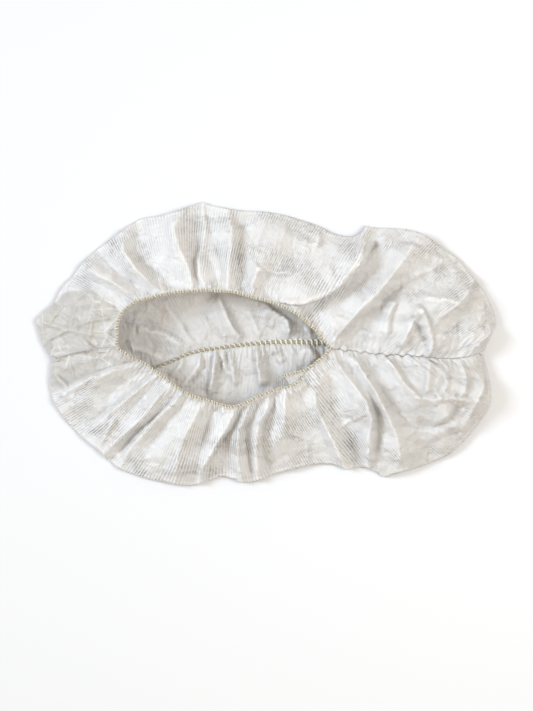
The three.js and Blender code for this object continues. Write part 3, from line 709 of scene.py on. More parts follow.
def first_gathers(rng, strip, from_edge, to_seam, at_edge, at_seam):
    """The gathers before they settle: for each wave length a row of round ridges with sharp valleys, 1 minus
    twice the 0.8th power of a sine, whose phase wanders.  They start at an edge and die out with the distance
    from it, further off for a longer wave."""
    (full, reach), (sole_full, sole_reach) = at_edge, at_seam
    lift = np.zeros(from_edge.shape)
    for wave, size in GATHER_WAVES:
        turn = wander(rng, ALONG + 1, np.append(strip, strip[-1]), wave)[:, None]
        turn = turn + 2.2 * noise(rng, lift.shape, (26, 14))
        ruck = (1 - 2 * np.abs(np.sin(turn / 2)) ** 0.8) * (0.8 + 1.1 * noise(rng, lift.shape, (18, 40)))
        fade = fading(from_edge, wave, 1.2 * wave + 0.3 * reach)
        lift += size * fade * ruck * np.sqrt(full / FULL)
        fade = fading(to_seam, wave, 0.9 * wave + 0.2 * sole_reach)
        lift += ON_SOLE * SOLE_HIGHER * size * fade * np.abs(ruck) * np.sqrt(sole_full / FULL)
    return lift


def spare_cloth(rng, from_edge, to_seam, at_edge, at_seam):
    """How much longer the cloth is than its room: its fullness times exp(-(distance / reach) ^ 1.3) from an
    edge, uneven by chance, and SPARE everywhere."""
    (full, reach), (sole_full, sole_reach) = at_edge, at_seam
    near_edge = full * np.exp(-((from_edge / reach) ** 1.3))
    near_seam = sole_full * np.exp(-((to_seam / sole_reach) ** 1.3))
    uneven = 1 + 0.6 * noise(rng, from_edge.shape, (24, 90))
    return (near_edge * (1 - ON_SOLE) + near_seam * ON_SOLE) * uneven + SPARE


print(len(GATHER_WAVES), "sizes of gathers")

# %% Settling one panel
LARGE_STEPS, FINE_STEPS, BEND = 220, 180, 0.03
LOWEST = 0.3  # millimetres above the floor
SLACK = 1.01  # of a column's length


def settle(cloth, goal, plain, excess):
    """Two rounds of relaxing: on every second thread for the large forms, and on all of them for the fine
    ones.  Along the rim the woven length is the room plus its excess, so that the cloth has to buckle."""
    cloth[HELD] = plain[HELD]
    room = [np.linalg.norm(np.diff(grid, axis=0), axis=2) for grid in (goal, plain)]
    rest_along = np.maximum(*room) * (1 + (excess[1:] + excess[:-1]) / 2)
    rest_down = np.linalg.norm(np.diff(goal, axis=1), axis=2) * SLACK
    low = np.where(ROW <= SLOPE_ROWS + RIM_ROWS, 1.0, LOWEST)[None, :]
    high = np.where(ROW > SLOPE_ROWS + RIM_ROWS, 9.0, 60.0)[None, :]
    pull = np.where(FROM_MID_RIM <= RIM_ROWS / 2 + 1, 0.02, 0.006)[None, :, None]
    coarse_along = rest_along[::2, ::2] + rest_along[1::2, ::2]
    coarse_down = rest_down[::2, ::2] + rest_down[::2, 1::2]
    large = relax(
        cloth[::2, ::2], coarse_along, coarse_down, goal[::2, ::2], pull[:, ::2], HELD[::2, ::2],
        low[:, ::2], high[:, ::2], LARGE_STEPS, BEND,
    )
    fine = refine(large) + (cloth - refine(cloth[::2, ::2]))
    fine[HELD] = plain[HELD]
    return relax(fine, rest_along, rest_down, goal, pull * 0.5, HELD, low, high, FINE_STEPS, BEND)


print(LARGE_STEPS + FINE_STEPS, "steps of relaxing a panel")

# %% [markdown]
# ## Film and ribs
#
# At the heel the cloth shows no ribs: its smooth film is outside, and it is crumpled all over.  An outline
# from above says where.  It becomes an attribute of the mesh, so that the finish can follow it as well.

# %% Where the cloth is smooth film instead of ribs: outlines from above, in millimetres
LEFT_FILM = [
    (-200, 24), (-171, 35.5), (-163, 43), (-150, 44.5), (-134, 39), (-119, 31), (-112, 16), (-114, 0),
    (-122, -3), (-172, -12), (-200, -12),
]
RIGHT_FILM = [
    (-200, -12), (-120, 0), (-100, -13), (-121, -17), (-140, -23), (-158, -32), (-185, -44), (-200, -40),
]


def within(points, outline):
    """1 inside a closed outline and 0 outside: counts how many of its sides lie above each point."""
    x, y = points[..., 0], points[..., 1]
    a, b = np.array(outline, float), np.roll(outline, -1, axis=0)
    crossings = np.zeros(x.shape, int)
    for (ax, ay), (bx, by) in zip(a, b):
        if ax != bx:
            crossings += ((ax > x) != (bx > x)) & (y < ay + (x - ax) * (by - ay) / (bx - ax))
    return (crossings % 2).astype(float)


def film_share(plain, outline, toe_painted_shade):
    """1 on the heel's film and 0 on ribbed cloth; towards the toe it rises to toe_painted_shade, as painted
    shade.
    """
    above_rim = ROW <= SLOPE_ROWS + 3
    film = soften(within(plain, outline) * above_rim, 1)
    # Towards the toe the film's grey is painted on as shade, and the ribs there fade with it.
    return np.maximum(film, np.interp(plain[..., 0], [70, 130], [0, toe_painted_shade]) * above_rim)


print("film on", round(film_share(left_plain, LEFT_FILM, 0).mean() * 100, 1), "% of the left panel's points")


# %% How far the ribs lean from the grid's columns: (x, lean), from heel to toe
LEFT_RIB_SLANT = [(-80, 0), (-48, 0.1), (-12, 0.16), (60, 0.16)]
RIGHT_RIB_SLANT = [(-110, -0.23), (-69, -0.16), (0, 0.2), (90, 0.28)]
print("the ribs lean by up to", max(lean for _, lean in LEFT_RIB_SLANT + RIGHT_RIB_SLANT))

# %% [markdown]
# ## Where the cloth bends sharply
#
# A sharp crest gets a painted highlight and a sharp valley painted shade.  How far the cloth stands out of a
# softened copy of itself shows where these are.  Small heights don't count, or every tiny buckle would be
# drawn.

# %% Sharp bends
FLAT_BEND, SHARP_BEND = 0.25, 0.9  # out of the softened cloth, in millimetres


def bends(cloth):
    """Where the cloth bends sharply, seen from above: 1 on a sharp crest, -1 in a sharp valley, and 0 where
    it stands less than FLAT_BEND out of the same cloth softened."""
    near, wide = (np.dstack([soften(cloth[..., k], times) for k in range(3)]) for times in (1, 6))
    normal = np.cross(np.gradient(wide, axis=1), np.gradient(wide, axis=0))
    normal *= np.where(normal[..., 2:] < 0, -1, 1) / (np.linalg.norm(normal, axis=2, keepdims=True) + 1e-9)
    out = ((near - wide) * normal).sum(2)
    return np.sign(out) * np.clip((np.abs(out) - FLAT_BEND) / (SHARP_BEND - FLAT_BEND), 0, 1)


print("a flat grid has", int(np.abs(bends(square)).sum()), "sharp bends")

# %% [markdown]
# ## Making a panel
#
# The pleats and folds come first and the relaxing blurs them, as it should: they pass most of their height to
# it, and the rest is added afterwards, so that the main creases stay crisp.  Crumples come last, because they
# are finer than a thread of the grid can carry through a relaxation.

# %% Pleats and folds together


def drawn_folds(plain, pleats, folds, sole_folds):
    """How far the folds, the pleats and the sole's folds move each point, each dying out at the edges."""
    folded = raise_folds(plain, folds) * (ON_SLOPE * OFF_ENDS)[..., None]
    pleated = pleat_rise(plain, pleats) * ramp(DOWN_SLOPE, 0.05)
    pleated = pleated * np.clip((1 - DOWN_SLOPE) / 0.1, 0.6, 1) * OFF_ENDS
    sole_folded = raise_folds(plain, sole_folds) * (ON_SOLE * OFF_SOLE_SEAM * OFF_ENDS)[..., None]
    return folded, pleated, sole_folded


print("pleats and folds stand in full on", int((ON_SLOPE == 1).sum()), "rows of the slope")

# %% Making one panel
CLOTH_FACETS, FILM_FACETS = ((26, 34), 0.24), ((13, 11), 0.2)  # ((spacing along, down), tilt)
BEFORE, AFTER, SOLE_BEFORE = 0.8, 0.6, 0.65  # shares of the folds that go in before and after the relaxing
HEEL_CALM = [(-112, 0), (-118.5, 0.7), (-121, 0.85), (-140, 0.9)]  # (x, how much flatter the heel is)
HEEL_CROWN = 0.6


def make_panel(side, seed, sections, pleats, folds, sole_folds, fullness, sole_fullness, film_outline,
               toe_painted_shade, sole_relief, rib_slant, sole_slant):
    """Plain panel, then pleats and folds, then gathers, relaxing, and crumples.  Gives the points, their
    places on the flat cloth, the mouth's edge, and the masks that the finish reads: film, inside, roomy and
    bent."""
    rng = np.random.default_rng(seed)
    start, rim, sole, crown, on_mouth = section_columns(sections, side)
    plain = plain_panel(start, rim, sole, crown, on_mouth)
    from_edge, to_seam, strip = distances(plain)
    along = np.broadcast_to(np.concatenate([[0], np.cumsum(strip)])[:, None], from_edge.shape)
    across, roomy = outwards(plain, strip, side)
    crumple = facets(rng, along, from_edge, *CLOTH_FACETS)

    folded, pleated, sole_folded = drawn_folds(plain, pleats, folds, sole_folds)
    goal = plain + BEFORE * folded
    goal[..., 2] += BEFORE * pleated
    goal += SOLE_BEFORE * sole_folded

    at_edge, at_seam = table_along(fullness, start[:, :1]), table_along(sole_fullness, sole[:, :1])
    excess = spare_cloth(rng, from_edge, to_seam, at_edge, at_seam)
    lift = first_gathers(rng, strip, from_edge, to_seam, at_edge, at_seam)
    cloth = settle(goal + across * (lift * OFF_ENDS)[..., None], goal, plain, excess)
    (calm,) = table_along(HEEL_CALM, start[:, :1])
    cloth = cloth + calm[..., None] * (goal - cloth)

    # The film mask is the heel's film, and painted shade towards the toe.
    film = film_share(plain, film_outline, toe_painted_shade)
    from_above = [plain[..., k] - plain[..., k].min() for k in (0, 1)]
    film_crumple = soften(facets(rng, *from_above, *FILM_FACETS), 1)
    heel_line = seam_at(HEEL_SEAM, plain[..., 0].ravel())[:, 1].reshape(from_edge.shape)
    heel_crown = HEEL_CROWN * ramp(np.abs(plain[..., 1] - heel_line), 12)
    creased = crumple * roomy * (1 - calm) + film * (film_crumple + heel_crown)
    cloth = cloth + across * (creased * OFF_ENDS * OFF_EDGES)[..., None]
    cloth += AFTER * folded + sole_relief * sole_folded
    cloth[..., 2] += AFTER * pleated
    cloth[..., 2] = np.maximum(cloth[..., 2], LOWEST)

    slant = np.interp(start[:, :1], *np.array(rib_slant).T)
    under = np.maximum(from_edge - from_edge[:, SLOPE_ROWS + RIM_ROWS][:, None], 0)
    flat = np.dstack([along + slant * from_edge + sole_slant * under, from_edge])
    # bent paints a highlight on sharp crests and shade in sharp valleys.
    bent = bends(cloth) * ramp(ROW, 3) * OFF_SOLE_SEAM * OFF_ENDS
    inside = np.broadcast_to(ON_SOLE, from_edge.shape)
    return cloth, flat, start[on_mouth > 0.5], {"film": film, "inside": inside, "roomy": roomy, "bent": bent}


print("crumples are", CLOTH_FACETS[0], "mm apart on ribbed cloth and", FILM_FACETS[0], "mm on film")

# %% The two panels
# toe_painted_shade is how much of the film's grey is painted on the toe as shade.
PANELS = {
    "left": {
        "side": 1, "seed": 11, "sections": LEFT_SECTIONS, "pleats": LEFT_PLEATS, "folds": LEFT_FOLDS,
        "sole_folds": LEFT_SOLE_FOLDS, "fullness": LEFT_FULLNESS, "sole_fullness": LEFT_SOLE_FULLNESS,
        "film_outline": LEFT_FILM, "toe_painted_shade": 0.15, "sole_relief": 0.7, "rib_slant": LEFT_RIB_SLANT,
        "sole_slant": 0.33,
    },
    "right": {
        "side": -1, "seed": 23, "sections": RIGHT_SECTIONS, "pleats": RIGHT_PLEATS, "folds": RIGHT_FOLDS,
        "sole_folds": RIGHT_SOLE_FOLDS, "fullness": RIGHT_FULLNESS, "sole_fullness": RIGHT_SOLE_FULLNESS,
        "film_outline": RIGHT_FILM, "toe_painted_shade": 0.35, "sole_relief": 0.95, "rib_slant": RIGHT_RIB_SLANT,
        "sole_slant": 0,
    },
}
cloths = {name: make_panel(**panel) for name, panel in PANELS.items()}
for name, (cloth, *_) in cloths.items():
    print(name, "panel spans", np.ptp(cloth.reshape(-1, 3), axis=0).round(1), "mm")

# %% [markdown]
# ## From a grid to a piece
#
# A grid of points becomes a mesh with one face for each cell, and carries its place on the flat cloth as a UV
# map, in metres, so that ribs drawn on the UV map follow every fold.  A subdivided plane would do for one
# sheet, but the same few functions also make the beads of thread further on.

# %% Grid to mesh


def grid_faces(n, m, wrap_down=False, wrap_across=False):
    """The quads of an n by m grid of points, closed along either way if asked."""
    rows, columns = np.arange(n if wrap_down else n - 1), np.arange(m if wrap_across else m - 1)
    i, j = np.meshgrid(rows, columns, indexing="ij")
    i_next, j_next = (i + 1) % n, (j + 1) % m
    return np.stack([i * m + j, i * m + j_next, i_next * m + j_next, i_next * m + j], axis=-1).reshape(-1, 4)


def grid_uv(n, m, down_step, across_step):
    """The places of an n by m grid of points on flat cloth, evenly spaced."""
    return np.dstack(np.meshgrid(np.arange(n) * down_step, np.arange(m) * across_step, indexing="ij"))


def add_object(name, data):
    """A new object with the given mesh, light or camera, put into the scene."""
    new_object = bpy.data.objects.new(name, data)
    bpy.context.scene.collection.objects.link(new_object)
    return new_object


def make_piece(name, parts):
    """One mesh from a list of (points in millimetres, faces, UV in millimetres)."""
    points, faces, uvs, count = [], [], [], 0
    for spots, quads, uv in parts:
        points.append(spots.reshape(-1, 3) * MM)
        faces.append(quads + count)
        uvs.append(uv.reshape(-1, 2)[quads.reshape(-1)] * MM)
        count += len(points[-1])
    mesh = bpy.data.meshes.new(name)
    mesh.from_pydata(np.concatenate(points).tolist(), [], np.concatenate(faces).tolist())
    mesh.uv_layers.new(name="cloth").data.foreach_set("uv", np.concatenate(uvs).ravel())
    mesh.polygons.foreach_set("use_smooth", np.ones(len(mesh.polygons), bool))
    return add_object(name, mesh)


print("a 3 by 3 grid has", len(grid_faces(3, 3)), "faces")

# %% Creases and thickness


def crisp(piece, angle):
    """Marks the edges where the slope bends by more than `angle` degrees, so that a crease shades as one."""
    mesh = piece.data
    mesh.set_sharp_from_angle(angle=np.radians(angle))
    ends, sharp = np.empty(2 * len(mesh.edges), int), np.empty(len(mesh.edges), bool)
    mesh.edges.foreach_get("vertices", ends)
    mesh.edges.foreach_get("use_edge_sharp", sharp)
    on_slope = (ends % (ROWS + 1) <= SLOPE_ROWS) & (ends < (ALONG + 1) * (ROWS + 1))
    sharp &= on_slope.reshape(-1, 2).all(1)
    mesh.edges.foreach_set("use_edge_sharp", sharp)
    return int(sharp.sum())


def give_thickness(piece, thickness):
    """A Solidify modifier, centred on the sheet."""
    wall = piece.modifiers.new("wall", "SOLIDIFY")
    wall.thickness = thickness * MM
    wall.offset = 0


print("the cloth gets a wall of", CLOTH, "mm")

# %% [markdown]
# ## The doubled edge
#
# At the right front the mouth's edge is rolled over: for a few centimetres there are two layers, each with
# its stitched edge.  Folding the panel itself over would tangle its grid, so a short strip of cloth lies
# there instead, and the elastic's path runs back along it.

# %% The strip: each row is a point on the fold, then one on the edge that is rolled over, in millimetres
FLAP = [
    (47, -9, 28.9, 47, -9.5, 28.6), (39, -15.3, 29.5, 42, -16, 28.3), (33, -19.3, 29.3, 38, -21, 27.8),
    (27, -21.3, 29, 33, -25.5, 27.3), (21, -22.8, 28.3, 27, -29.5, 26.8), (15.5, -24, 27.3, 20, -32, 26.5),
]
FLAP_LONG, FLAP_WIDE = 49, 15  # points along and across
edges = smooth_line(FLAP, np.linspace(0, 1, FLAP_LONG))
share = np.linspace(0, 1, FLAP_WIDE)[None, :, None]
flap = edges[:, None, :3] * (1 - share) + edges[:, None, 3:] * share
flap[..., 2] += 0.5 * np.sin(np.pi * share[..., 0]) * np.sin(0.9 * np.arange(FLAP_LONG))[:, None]
print("the strip is up to", np.linalg.norm(edges[:, :3] - edges[:, 3:], axis=1).max().round(1), "mm wide")

# %% The two cloth pieces
CREASE_ANGLE = 20  # degrees
cloth_faces = grid_faces(ALONG + 1, ROWS + 1)
left_part = (cloths["left"][0], cloth_faces, cloths["left"][1])
right_part = (cloths["right"][0], cloth_faces[:, ::-1], cloths["right"][1])
flap_part = (flap, grid_faces(FLAP_LONG, FLAP_WIDE), grid_uv(FLAP_LONG, FLAP_WIDE, 0.9, 0.8))
left_piece = make_piece("left_cloth", [left_part])
right_piece = make_piece("right_cloth", [right_part, flap_part])
for piece in (left_piece, right_piece):
    print(piece.name, "has", crisp(piece, CREASE_ANGLE), "edges that shade as creases")
    give_thickness(piece, CLOTH)

# %% The masks as attributes that the finish can read
# The strip is painted with part of the film's grey and all of the inside's painted shade.
FLAP_MASKS = {"film": 0.3, "inside": 1.0, "roomy": 1.0, "bent": 0.0}
for piece, (*_, masks) in zip((left_piece, right_piece), cloths.values()):
    for name, mask in masks.items():
        values = np.full(len(piece.data.vertices), FLAP_MASKS[name])
        values[: mask.size] = mask.ravel()
        piece.data.attributes.new(name, "FLOAT", "POINT").data.foreach_set("value", values)
    print(piece.name, "carries", ", ".join(masks))

# %% [markdown]
# ## Overlocked edges
#
# An overlock stitch wraps thread round the edge of the cloth: seen from above each thread runs straight
# across, then along the side to the next one.  Here it goes round a flat strand of elastic, or round the
# bundled edges of a seam.  A texture of stitches would be flat where the light rakes over it, and a curve
# object would have to be turned into a mesh, so each thread is a thin tube worked out from its own formula.

# %% Paths


def length_along(points):
    """How far each point lies from the first, along the line through them."""
    return np.concatenate([[0], np.cumsum(np.linalg.norm(np.diff(points, axis=0), axis=1))])


def at_lengths(values, length, at):
    """The rows of `values` that belong to each length in `at`, in proportion between two rows."""
    return np.stack([np.interp(at, length, values[:, k]) for k in range(3)], axis=1)


def even_path(rows, spacing, closed=False):
    """Points evenly spaced along the smooth line through the rows, and its length; a closed one joins its
    ends."""
    rows = np.asarray(rows, float)
    ends = (0, 1)
    if closed:
        rows = np.concatenate([rows[-2:], rows, rows[:3]])
        ends = (2 / (len(rows) - 1), 1 - 2 / (len(rows) - 1))
    fine = smooth_line(rows, np.linspace(*ends, 6001))
    length = length_along(fine)
    at = np.linspace(0, length[-1], int(round(length[-1] / spacing)) + 1)
    return at_lengths(fine, length, at), length[-1]


def way_along(path, closed):
    """The unit vector along a path at each of its points."""
    ahead = np.gradient(path, axis=0)
    if closed:
        ahead[0] = ahead[-1] = path[1] - path[-2]
    return ahead / np.linalg.norm(ahead, axis=1, keepdims=True)


def path_sides(path, closed):
    """For each point of a path: the level way to its left, and the way up from both that and the path."""
    ahead = way_along(path, closed)
    left = np.cross([0, 0, 1.0], ahead)
    left /= np.linalg.norm(left, axis=1, keepdims=True)
    return left, np.cross(ahead, left)


print("a path along the sole seam is", round(even_path(SOLE_SEAM, 1.0)[1]), "mm long")

# %% Tubes and threads
TUBE_SIDES, THREAD_SIDES = 8, 6
thread_rng = np.random.default_rng(5)


def ring_part(line, side, up, sides, closed, uv_step):
    """A tube as (points, faces, UV), with rings at line + cos(turn) * side + sin(turn) * up."""
    turn = 2 * np.pi * np.arange(sides)[:, None] / sides
    rings = line[:, None] + np.cos(turn) * side[:, None] + np.sin(turn) * up[:, None]
    if closed:
        rings = rings[:-1]
    uv = grid_uv(len(rings), sides, uv_step, uv_step)
    return rings, grid_faces(len(rings), sides, closed, True), uv


def tube(path, half_wide, half_high, closed=False, taper=1.0):
    """A tube of oval section along a path, with its ends drawn to a point unless it is closed.  Its width is
    multiplied by taper, one number or one for each point."""
    left, up = path_sides(path, closed)
    from_end = np.minimum(np.arange(len(path)), np.arange(len(path))[::-1])
    size = np.ones(len(path)) if closed else np.clip(from_end / 2, 0.05, 1)
    side, rise = (size * half_wide * taper)[:, None] * left, (size * half_high)[:, None] * up
    rings, faces, uv = ring_part(path, side, rise, TUBE_SIDES, closed, 0.5)
    return rings, faces[:, ::-1], uv


def overlock(path, pitch, reach, high, thread, closed=False, turned=0.0, taper=1.0):
    """Thread round a path.  With p its phase, one turn to a stitch, it lies p + sin(2 p) / 2 of the way to
    the next stitch, so that it goes straight across above and runs along at the sides; cos(p) takes it from
    its reach to the left to its reach to the right, and sin(p) up and down by its height.  `turned` tips the
    whole oval about the path, and `taper` thins its reach and its thread along it."""
    length = length_along(path)
    stitches = int(round(length[-1] / pitch))
    p = np.linspace(0, 2 * np.pi * stitches, stitches * 20 + 1)
    at = (p + 0.5 * np.sin(2 * p)) / (2 * np.pi * stitches) * length[-1]
    spot, left, up = (at_lengths(values, length, at) for values in (path, *path_sides(path, closed)))
    chance = thread_rng.uniform(-1, 1, stitches * 2 + 1)
    uneven = 1 + 0.35 * np.interp(np.arange(len(p)), np.arange(stitches * 2 + 1) * 10, chance)
    uneven[-1] = uneven[0]
    middle, half = (reach[0] - reach[1]) / 2, (reach[0] + reach[1]) / 2
    thin = np.interp(at, length, taper * np.ones(len(path)))
    wide, tall = (middle + half * np.cos(p)) * uneven * thin, high * np.sin(p)
    c, s = np.cos(turned), np.sin(turned)
    line = spot + (wide * c - tall * s)[:, None] * left + (wide * s + tall * c)[:, None] * up
    ahead = way_along(line, closed)
    across = np.cross(ahead, line - spot)
    across /= np.linalg.norm(across, axis=1, keepdims=True) + 1e-9
    radius = thread * thin[:, None]
    return ring_part(line, radius * across, radius * np.cross(across, ahead), THREAD_SIDES, closed, 0.3)


straight = np.linspace((0, 0, 0), (40, 0, 0), 41)
print("a tube along", len(straight), "points has", len(tube(straight, 1, 1)[1]), "faces")

# %% Materials of elastic and thread


def new_material(name, colour, roughness):
    """A material with one Principled shader of the given colour and roughness."""
    material = bpy.data.materials.new(name)
    material.use_nodes = True
    shader = material.node_tree.nodes["Principled BSDF"]
    shader.inputs["Base Color"].default_value = (*colour, 1)
    shader.inputs["Roughness"].default_value = roughness
    return material


elastic_material = new_material("olive_elastic", (0.36, 0.3, 0.18), 0.6)
thread_material = new_material("cream_thread", (0.76, 0.735, 0.67), 0.7)
print("made", elastic_material.name, "and", thread_material.name)

# %% One piece from a core and its threads


def bead_piece(name, core, threads):
    """One piece from the tube of its core and the threads round it, elastic first and thread on the rest."""
    piece = make_piece(name, [core] + threads)
    piece.data.materials.append(elastic_material)
    piece.data.materials.append(thread_material)
    slots = np.ones(len(piece.data.polygons), int)
    slots[: len(core[1])] = 0
    piece.data.polygons.foreach_set("material_index", slots)
    print(name, "has", len(slots), "faces")
    return piece


# %% [markdown]
# ## The mouth's elastic
#
# The stretched elastic lies inside the overlock all round the mouth, and its olive colour shows between the
# threads.  One band with a striped texture would look printed.  Two threads of different pitch over a plain
# tube cross each other unevenly, as on the real edge, and cast their own small shadows.

# %% The mouth's elastic
# The path goes round both panels' mouth edges, and at the right front along the strip's two edges.
FRONT_FOLD = [
    (52.3, -3, 28.4), (47, -9, 29.2), (42, -12.9, 29.6), (34.7, -18.5, 29.8), (29, -20.6, 29.6),
    (22.6, -22.4, 29), (16.5, -23.7, 27.8), (14.5, -25, 26.6), (19, -26.5, 26), (26, -26, 27),
    (30.5, -26, 29.6),
]
left_mouth, right_mouth = cloths["left"][2], cloths["right"][2]
right_back = right_mouth[right_mouth[:, 0] < 28.5][::-8]
loop = np.concatenate([left_mouth[4:-3:8], right_back[1:], FRONT_FOLD[::-1]])
mouth_path, mouth_length = even_path(loop, 0.7, closed=True)
print("the mouth's elastic is", round(mouth_length), "mm long")
elastic_piece = bead_piece(
    "mouth_bead",
    tube(mouth_path, half_wide=0.75, half_high=0.6, closed=True),
    [
        overlock(mouth_path, pitch=2.3, reach=(0.8, 1.7), high=0.9, thread=0.26, closed=True),
        overlock(mouth_path, pitch=3.7, reach=(0.7, 2.3), high=1.05, thread=0.2, closed=True),
    ],
)

# %% [markdown]
# ## The seams inside
#
# Under the sole, the instep and the heel the edges of the two panels are overlocked together into a bead.  It
# lies on the sole cloth, where it is seen through the mouth, and hangs on edge below the instep and the heel,
# where the cloth hides it.  Each could follow the cloth's own folds, but the seam's plain line is enough.

# %% The sole seam
# The cloth buries more of it towards the heel, so it is thinner there.
SOLE_LIFT = 1.4
sole_path, _ = even_path([(x, y, z + SOLE_LIFT) for x, y, z in SOLE_SEAM], 0.8)
sole_taper = np.interp(sole_path[:, 0], [-90, -10, 20], [0.5, 0.8, 1.2])
sole_piece = bead_piece(
    "sole_bead",
    tube(sole_path, half_wide=1.25, half_high=0.8, taper=sole_taper),
    [overlock(sole_path, pitch=4.2, reach=(1.75, 1.75), high=1.0, thread=0.62, taper=sole_taper)],
)
print("the sole seam's bead follows", len(sole_path), "points")

# %% The instep's and the heel's seams, which hang upright under the cloth
SEAM_DROP = 4.0


def hanging_bead(name, seam):
    """The same bead for both seams: SEAM_DROP below the seam's line, and tipped on its edge."""
    path, _ = even_path([(x, y, z - SEAM_DROP) for x, y, z in seam], 0.8)
    threads = [overlock(path, pitch=4.2, reach=(2.0, 2.0), high=0.9, thread=0.4, turned=np.pi / 2)]
    return bead_piece(name, tube(path, half_wide=0.7, half_high=1.5), threads)


instep_piece = hanging_bead("instep_bead", INSTEP_SEAM)
heel_piece = hanging_bead("heel_bead", HEEL_SEAM)
print("the hanging beads have", [len(piece.data.vertices) for piece in (instep_piece, heel_piece)], "points")

# %% [markdown]
# ## The cloth's finish
#
# Close up the cloth is white film on fine raised ribs, and it shines faintly.  Its creases carry a painted
# highlight, and light comes through it from behind.  A painted texture would blur close up and show its
# edges;
# waves and scattered points worked out for each place stay sharp at any size, and can follow the masks that
# the panels carry.

# %% Shader nodes in few words
cloth_material = new_material("film_cloth", (0.9, 0.9, 0.9), 0.4)
nodes, links = cloth_material.node_tree.nodes, cloth_material.node_tree.links
shader = nodes["Principled BSDF"]


def feed(node, inputs):
    """Gives a node's inputs, by name or number, the output of another node or a plain value."""
    for name, value in inputs.items():
        if isinstance(value, bpy.types.NodeSocket):
            links.new(value, node.inputs[name])
        else:
            node.inputs[name].default_value = value


def new_node(kind, inputs, **settings):
    """A node of the given kind with its settings, and its inputs fed."""
    node = nodes.new("ShaderNode" + kind)
    for name, value in settings.items():
        setattr(node, name, value)
    feed(node, inputs)
    return node


def math_node(operation, *values):
    """What a Math node makes of one or two outputs or numbers."""
    return new_node("Math", dict(enumerate(values)), operation=operation).outputs[0]


def times(first, *others):
    """The product of all its values."""
    for other in others:
        first = math_node("MULTIPLY", first, other)
    return first


def plus(first, *others):
    """The sum of all its values."""
    for other in others:
        first = math_node("ADD", first, other)
    return first


def less(amount, mask):
    """1 - amount * mask."""
    return math_node("SUBTRACT", 1.0, times(mask, amount))


def mixed(first, second, factor, blend="MIX"):
    """Two colours mixed: first + factor * (second - first), or for MULTIPLY their product."""
    inputs = {"A": first, "B": second, "Factor": factor}
    return new_node("Mix", inputs, data_type="RGBA", blend_type=blend).outputs["Result"]


print("the new material starts with", ", ".join(nodes.keys()))

# %% Where each point is: on the flat cloth, and seen from above
on_cloth = new_node("UVMap", {}, uv_map="cloth").outputs["UV"]
from_above = new_node("TexCoord", {}).outputs["Object"]
along_edge, from_edge, _ = new_node("SeparateXYZ", {0: on_cloth}).outputs
masks = [new_node("Attribute", {}, attribute_name=name).outputs["Fac"] for name in FLAP_MASKS]
film, inside, roomy, bent = masks
print("the finish reads", ", ".join(FLAP_MASKS))

# %% Chance in the shader


def patchy(scale, low, high, seed):
    """Noise over the cloth, stretched so that it is 0 below `low` and 1 above `high`."""
    moved = new_node("VectorMath", {0: on_cloth, 1: (seed, seed, 0)}).outputs[0]
    spots = new_node("TexNoise", {"Vector": moved, "Scale": scale}).outputs[0]
    return new_node("MapRange", {"Value": spots, "From Min": low, "From Max": high}).outputs[0]


def scattered(width, length, seed, where, feature="F1"):
    """The distance from each place, as `where` tells it, to the nearest of some scattered points, one to a
    cell of the given width and length; or, with DISTANCE_TO_EDGE, to the line half way between the two
    nearest."""
    inputs = {0: where, 1: (1 / width, 1 / length, 0), 2: (seed, 0.6 * seed, 0)}
    scaled = new_node("VectorMath", inputs, operation="MULTIPLY_ADD").outputs[0]
    cells = new_node("TexVoronoi", {"Vector": scaled, "Scale": 1}, voronoi_dimensions="2D", feature=feature)
    return cells.outputs["Distance"]


def crumple(width, length, tilt, seed, where):
    """The same height as `facets`, in metres, worked out by the shader for each place: the squares of the
    distances to the nearest of two sets of scattered points, taken from each other."""
    squares = [math_node("POWER", scattered(width, length, seed + more, where), 2.0) for more in (0, 31.7)]
    return times(math_node("SUBTRACT", *squares), tilt * width)


CREASE_SHARPNESS = 40.0


def creases(width, length, seed):
    """Thin straight lines along the edges between cells of scattered points: 1 on a line, 0 beside it."""
    away = scattered(width, length, seed, from_above, "DISTANCE_TO_EDGE")
    return math_node("MAXIMUM", less(CREASE_SHARPNESS, away), 0.0)


print("a crease fades out over", 1 / CREASE_SHARPNESS, "of the distance between two points")

# %% Ribs: a sine across the cloth and a fainter one along it, strong and faint in patches
RIB_PITCH, CROSS_PITCH = 0.0021, 0.0016  # metres
rib, cross = (
    math_node("SINE", times(way, 2 * np.pi / pitch))
    for way, pitch in ((along_edge, RIB_PITCH), (from_edge, CROSS_PITCH))
)
patches = new_node("TexNoise", {"Vector": on_cloth, "Scale": 45}).outputs[0]
strength = math_node("MAXIMUM", times(math_node("SUBTRACT", patches, 0.38), 5.0), 0.25)
strength = times(strength, times(less(0.95, film), less(0.7, inside)))
strength = times(strength, plus(patchy(scale=320, low=0.35, high=0.65, seed=1.0), 0.5))
ribs = times(plus(rib, times(cross, 0.25)), strength)
print("the ribs are", round(RIB_PITCH / MM, 1), "mm apart")

# %% Wrinkles: long ones that run out from the edge, short ones, and two sizes of broad ones
near_edge = math_node("SUBTRACT", 1.3, times(from_edge, 40.0))
near_edge = math_node("MINIMUM", math_node("MAXIMUM", near_edge, 0.15), 1.0)
long_share = patchy(scale=35, low=0.46, high=0.58, seed=2.0)
long_wrinkles = times(crumple(width=0.009, length=0.02, tilt=0.17, seed=3.0, where=on_cloth), long_share)
long_wrinkles = times(long_wrinkles, near_edge, less(0.6, inside), roomy)
short_share = plus(patchy(scale=45, low=0.45, high=0.65, seed=5.0), times(film, 0.4))
short_wrinkles = times(crumple(width=0.006, length=0.005, tilt=0.2, seed=11.0, where=from_above), short_share)
BROAD_WRINKLES = [(0.018, 0.13, 17.0), (0.035, 0.11, 23.0)]  # (size in metres, tilt, seed)
broad_wrinkles = [crumple(size, size, tilt, seed, from_above) for size, tilt, seed in BROAD_WRINKLES]
wrinkles = plus(long_wrinkles, short_wrinkles, *broad_wrinkles)
print("ribs and wrinkles take", len(nodes), "nodes")

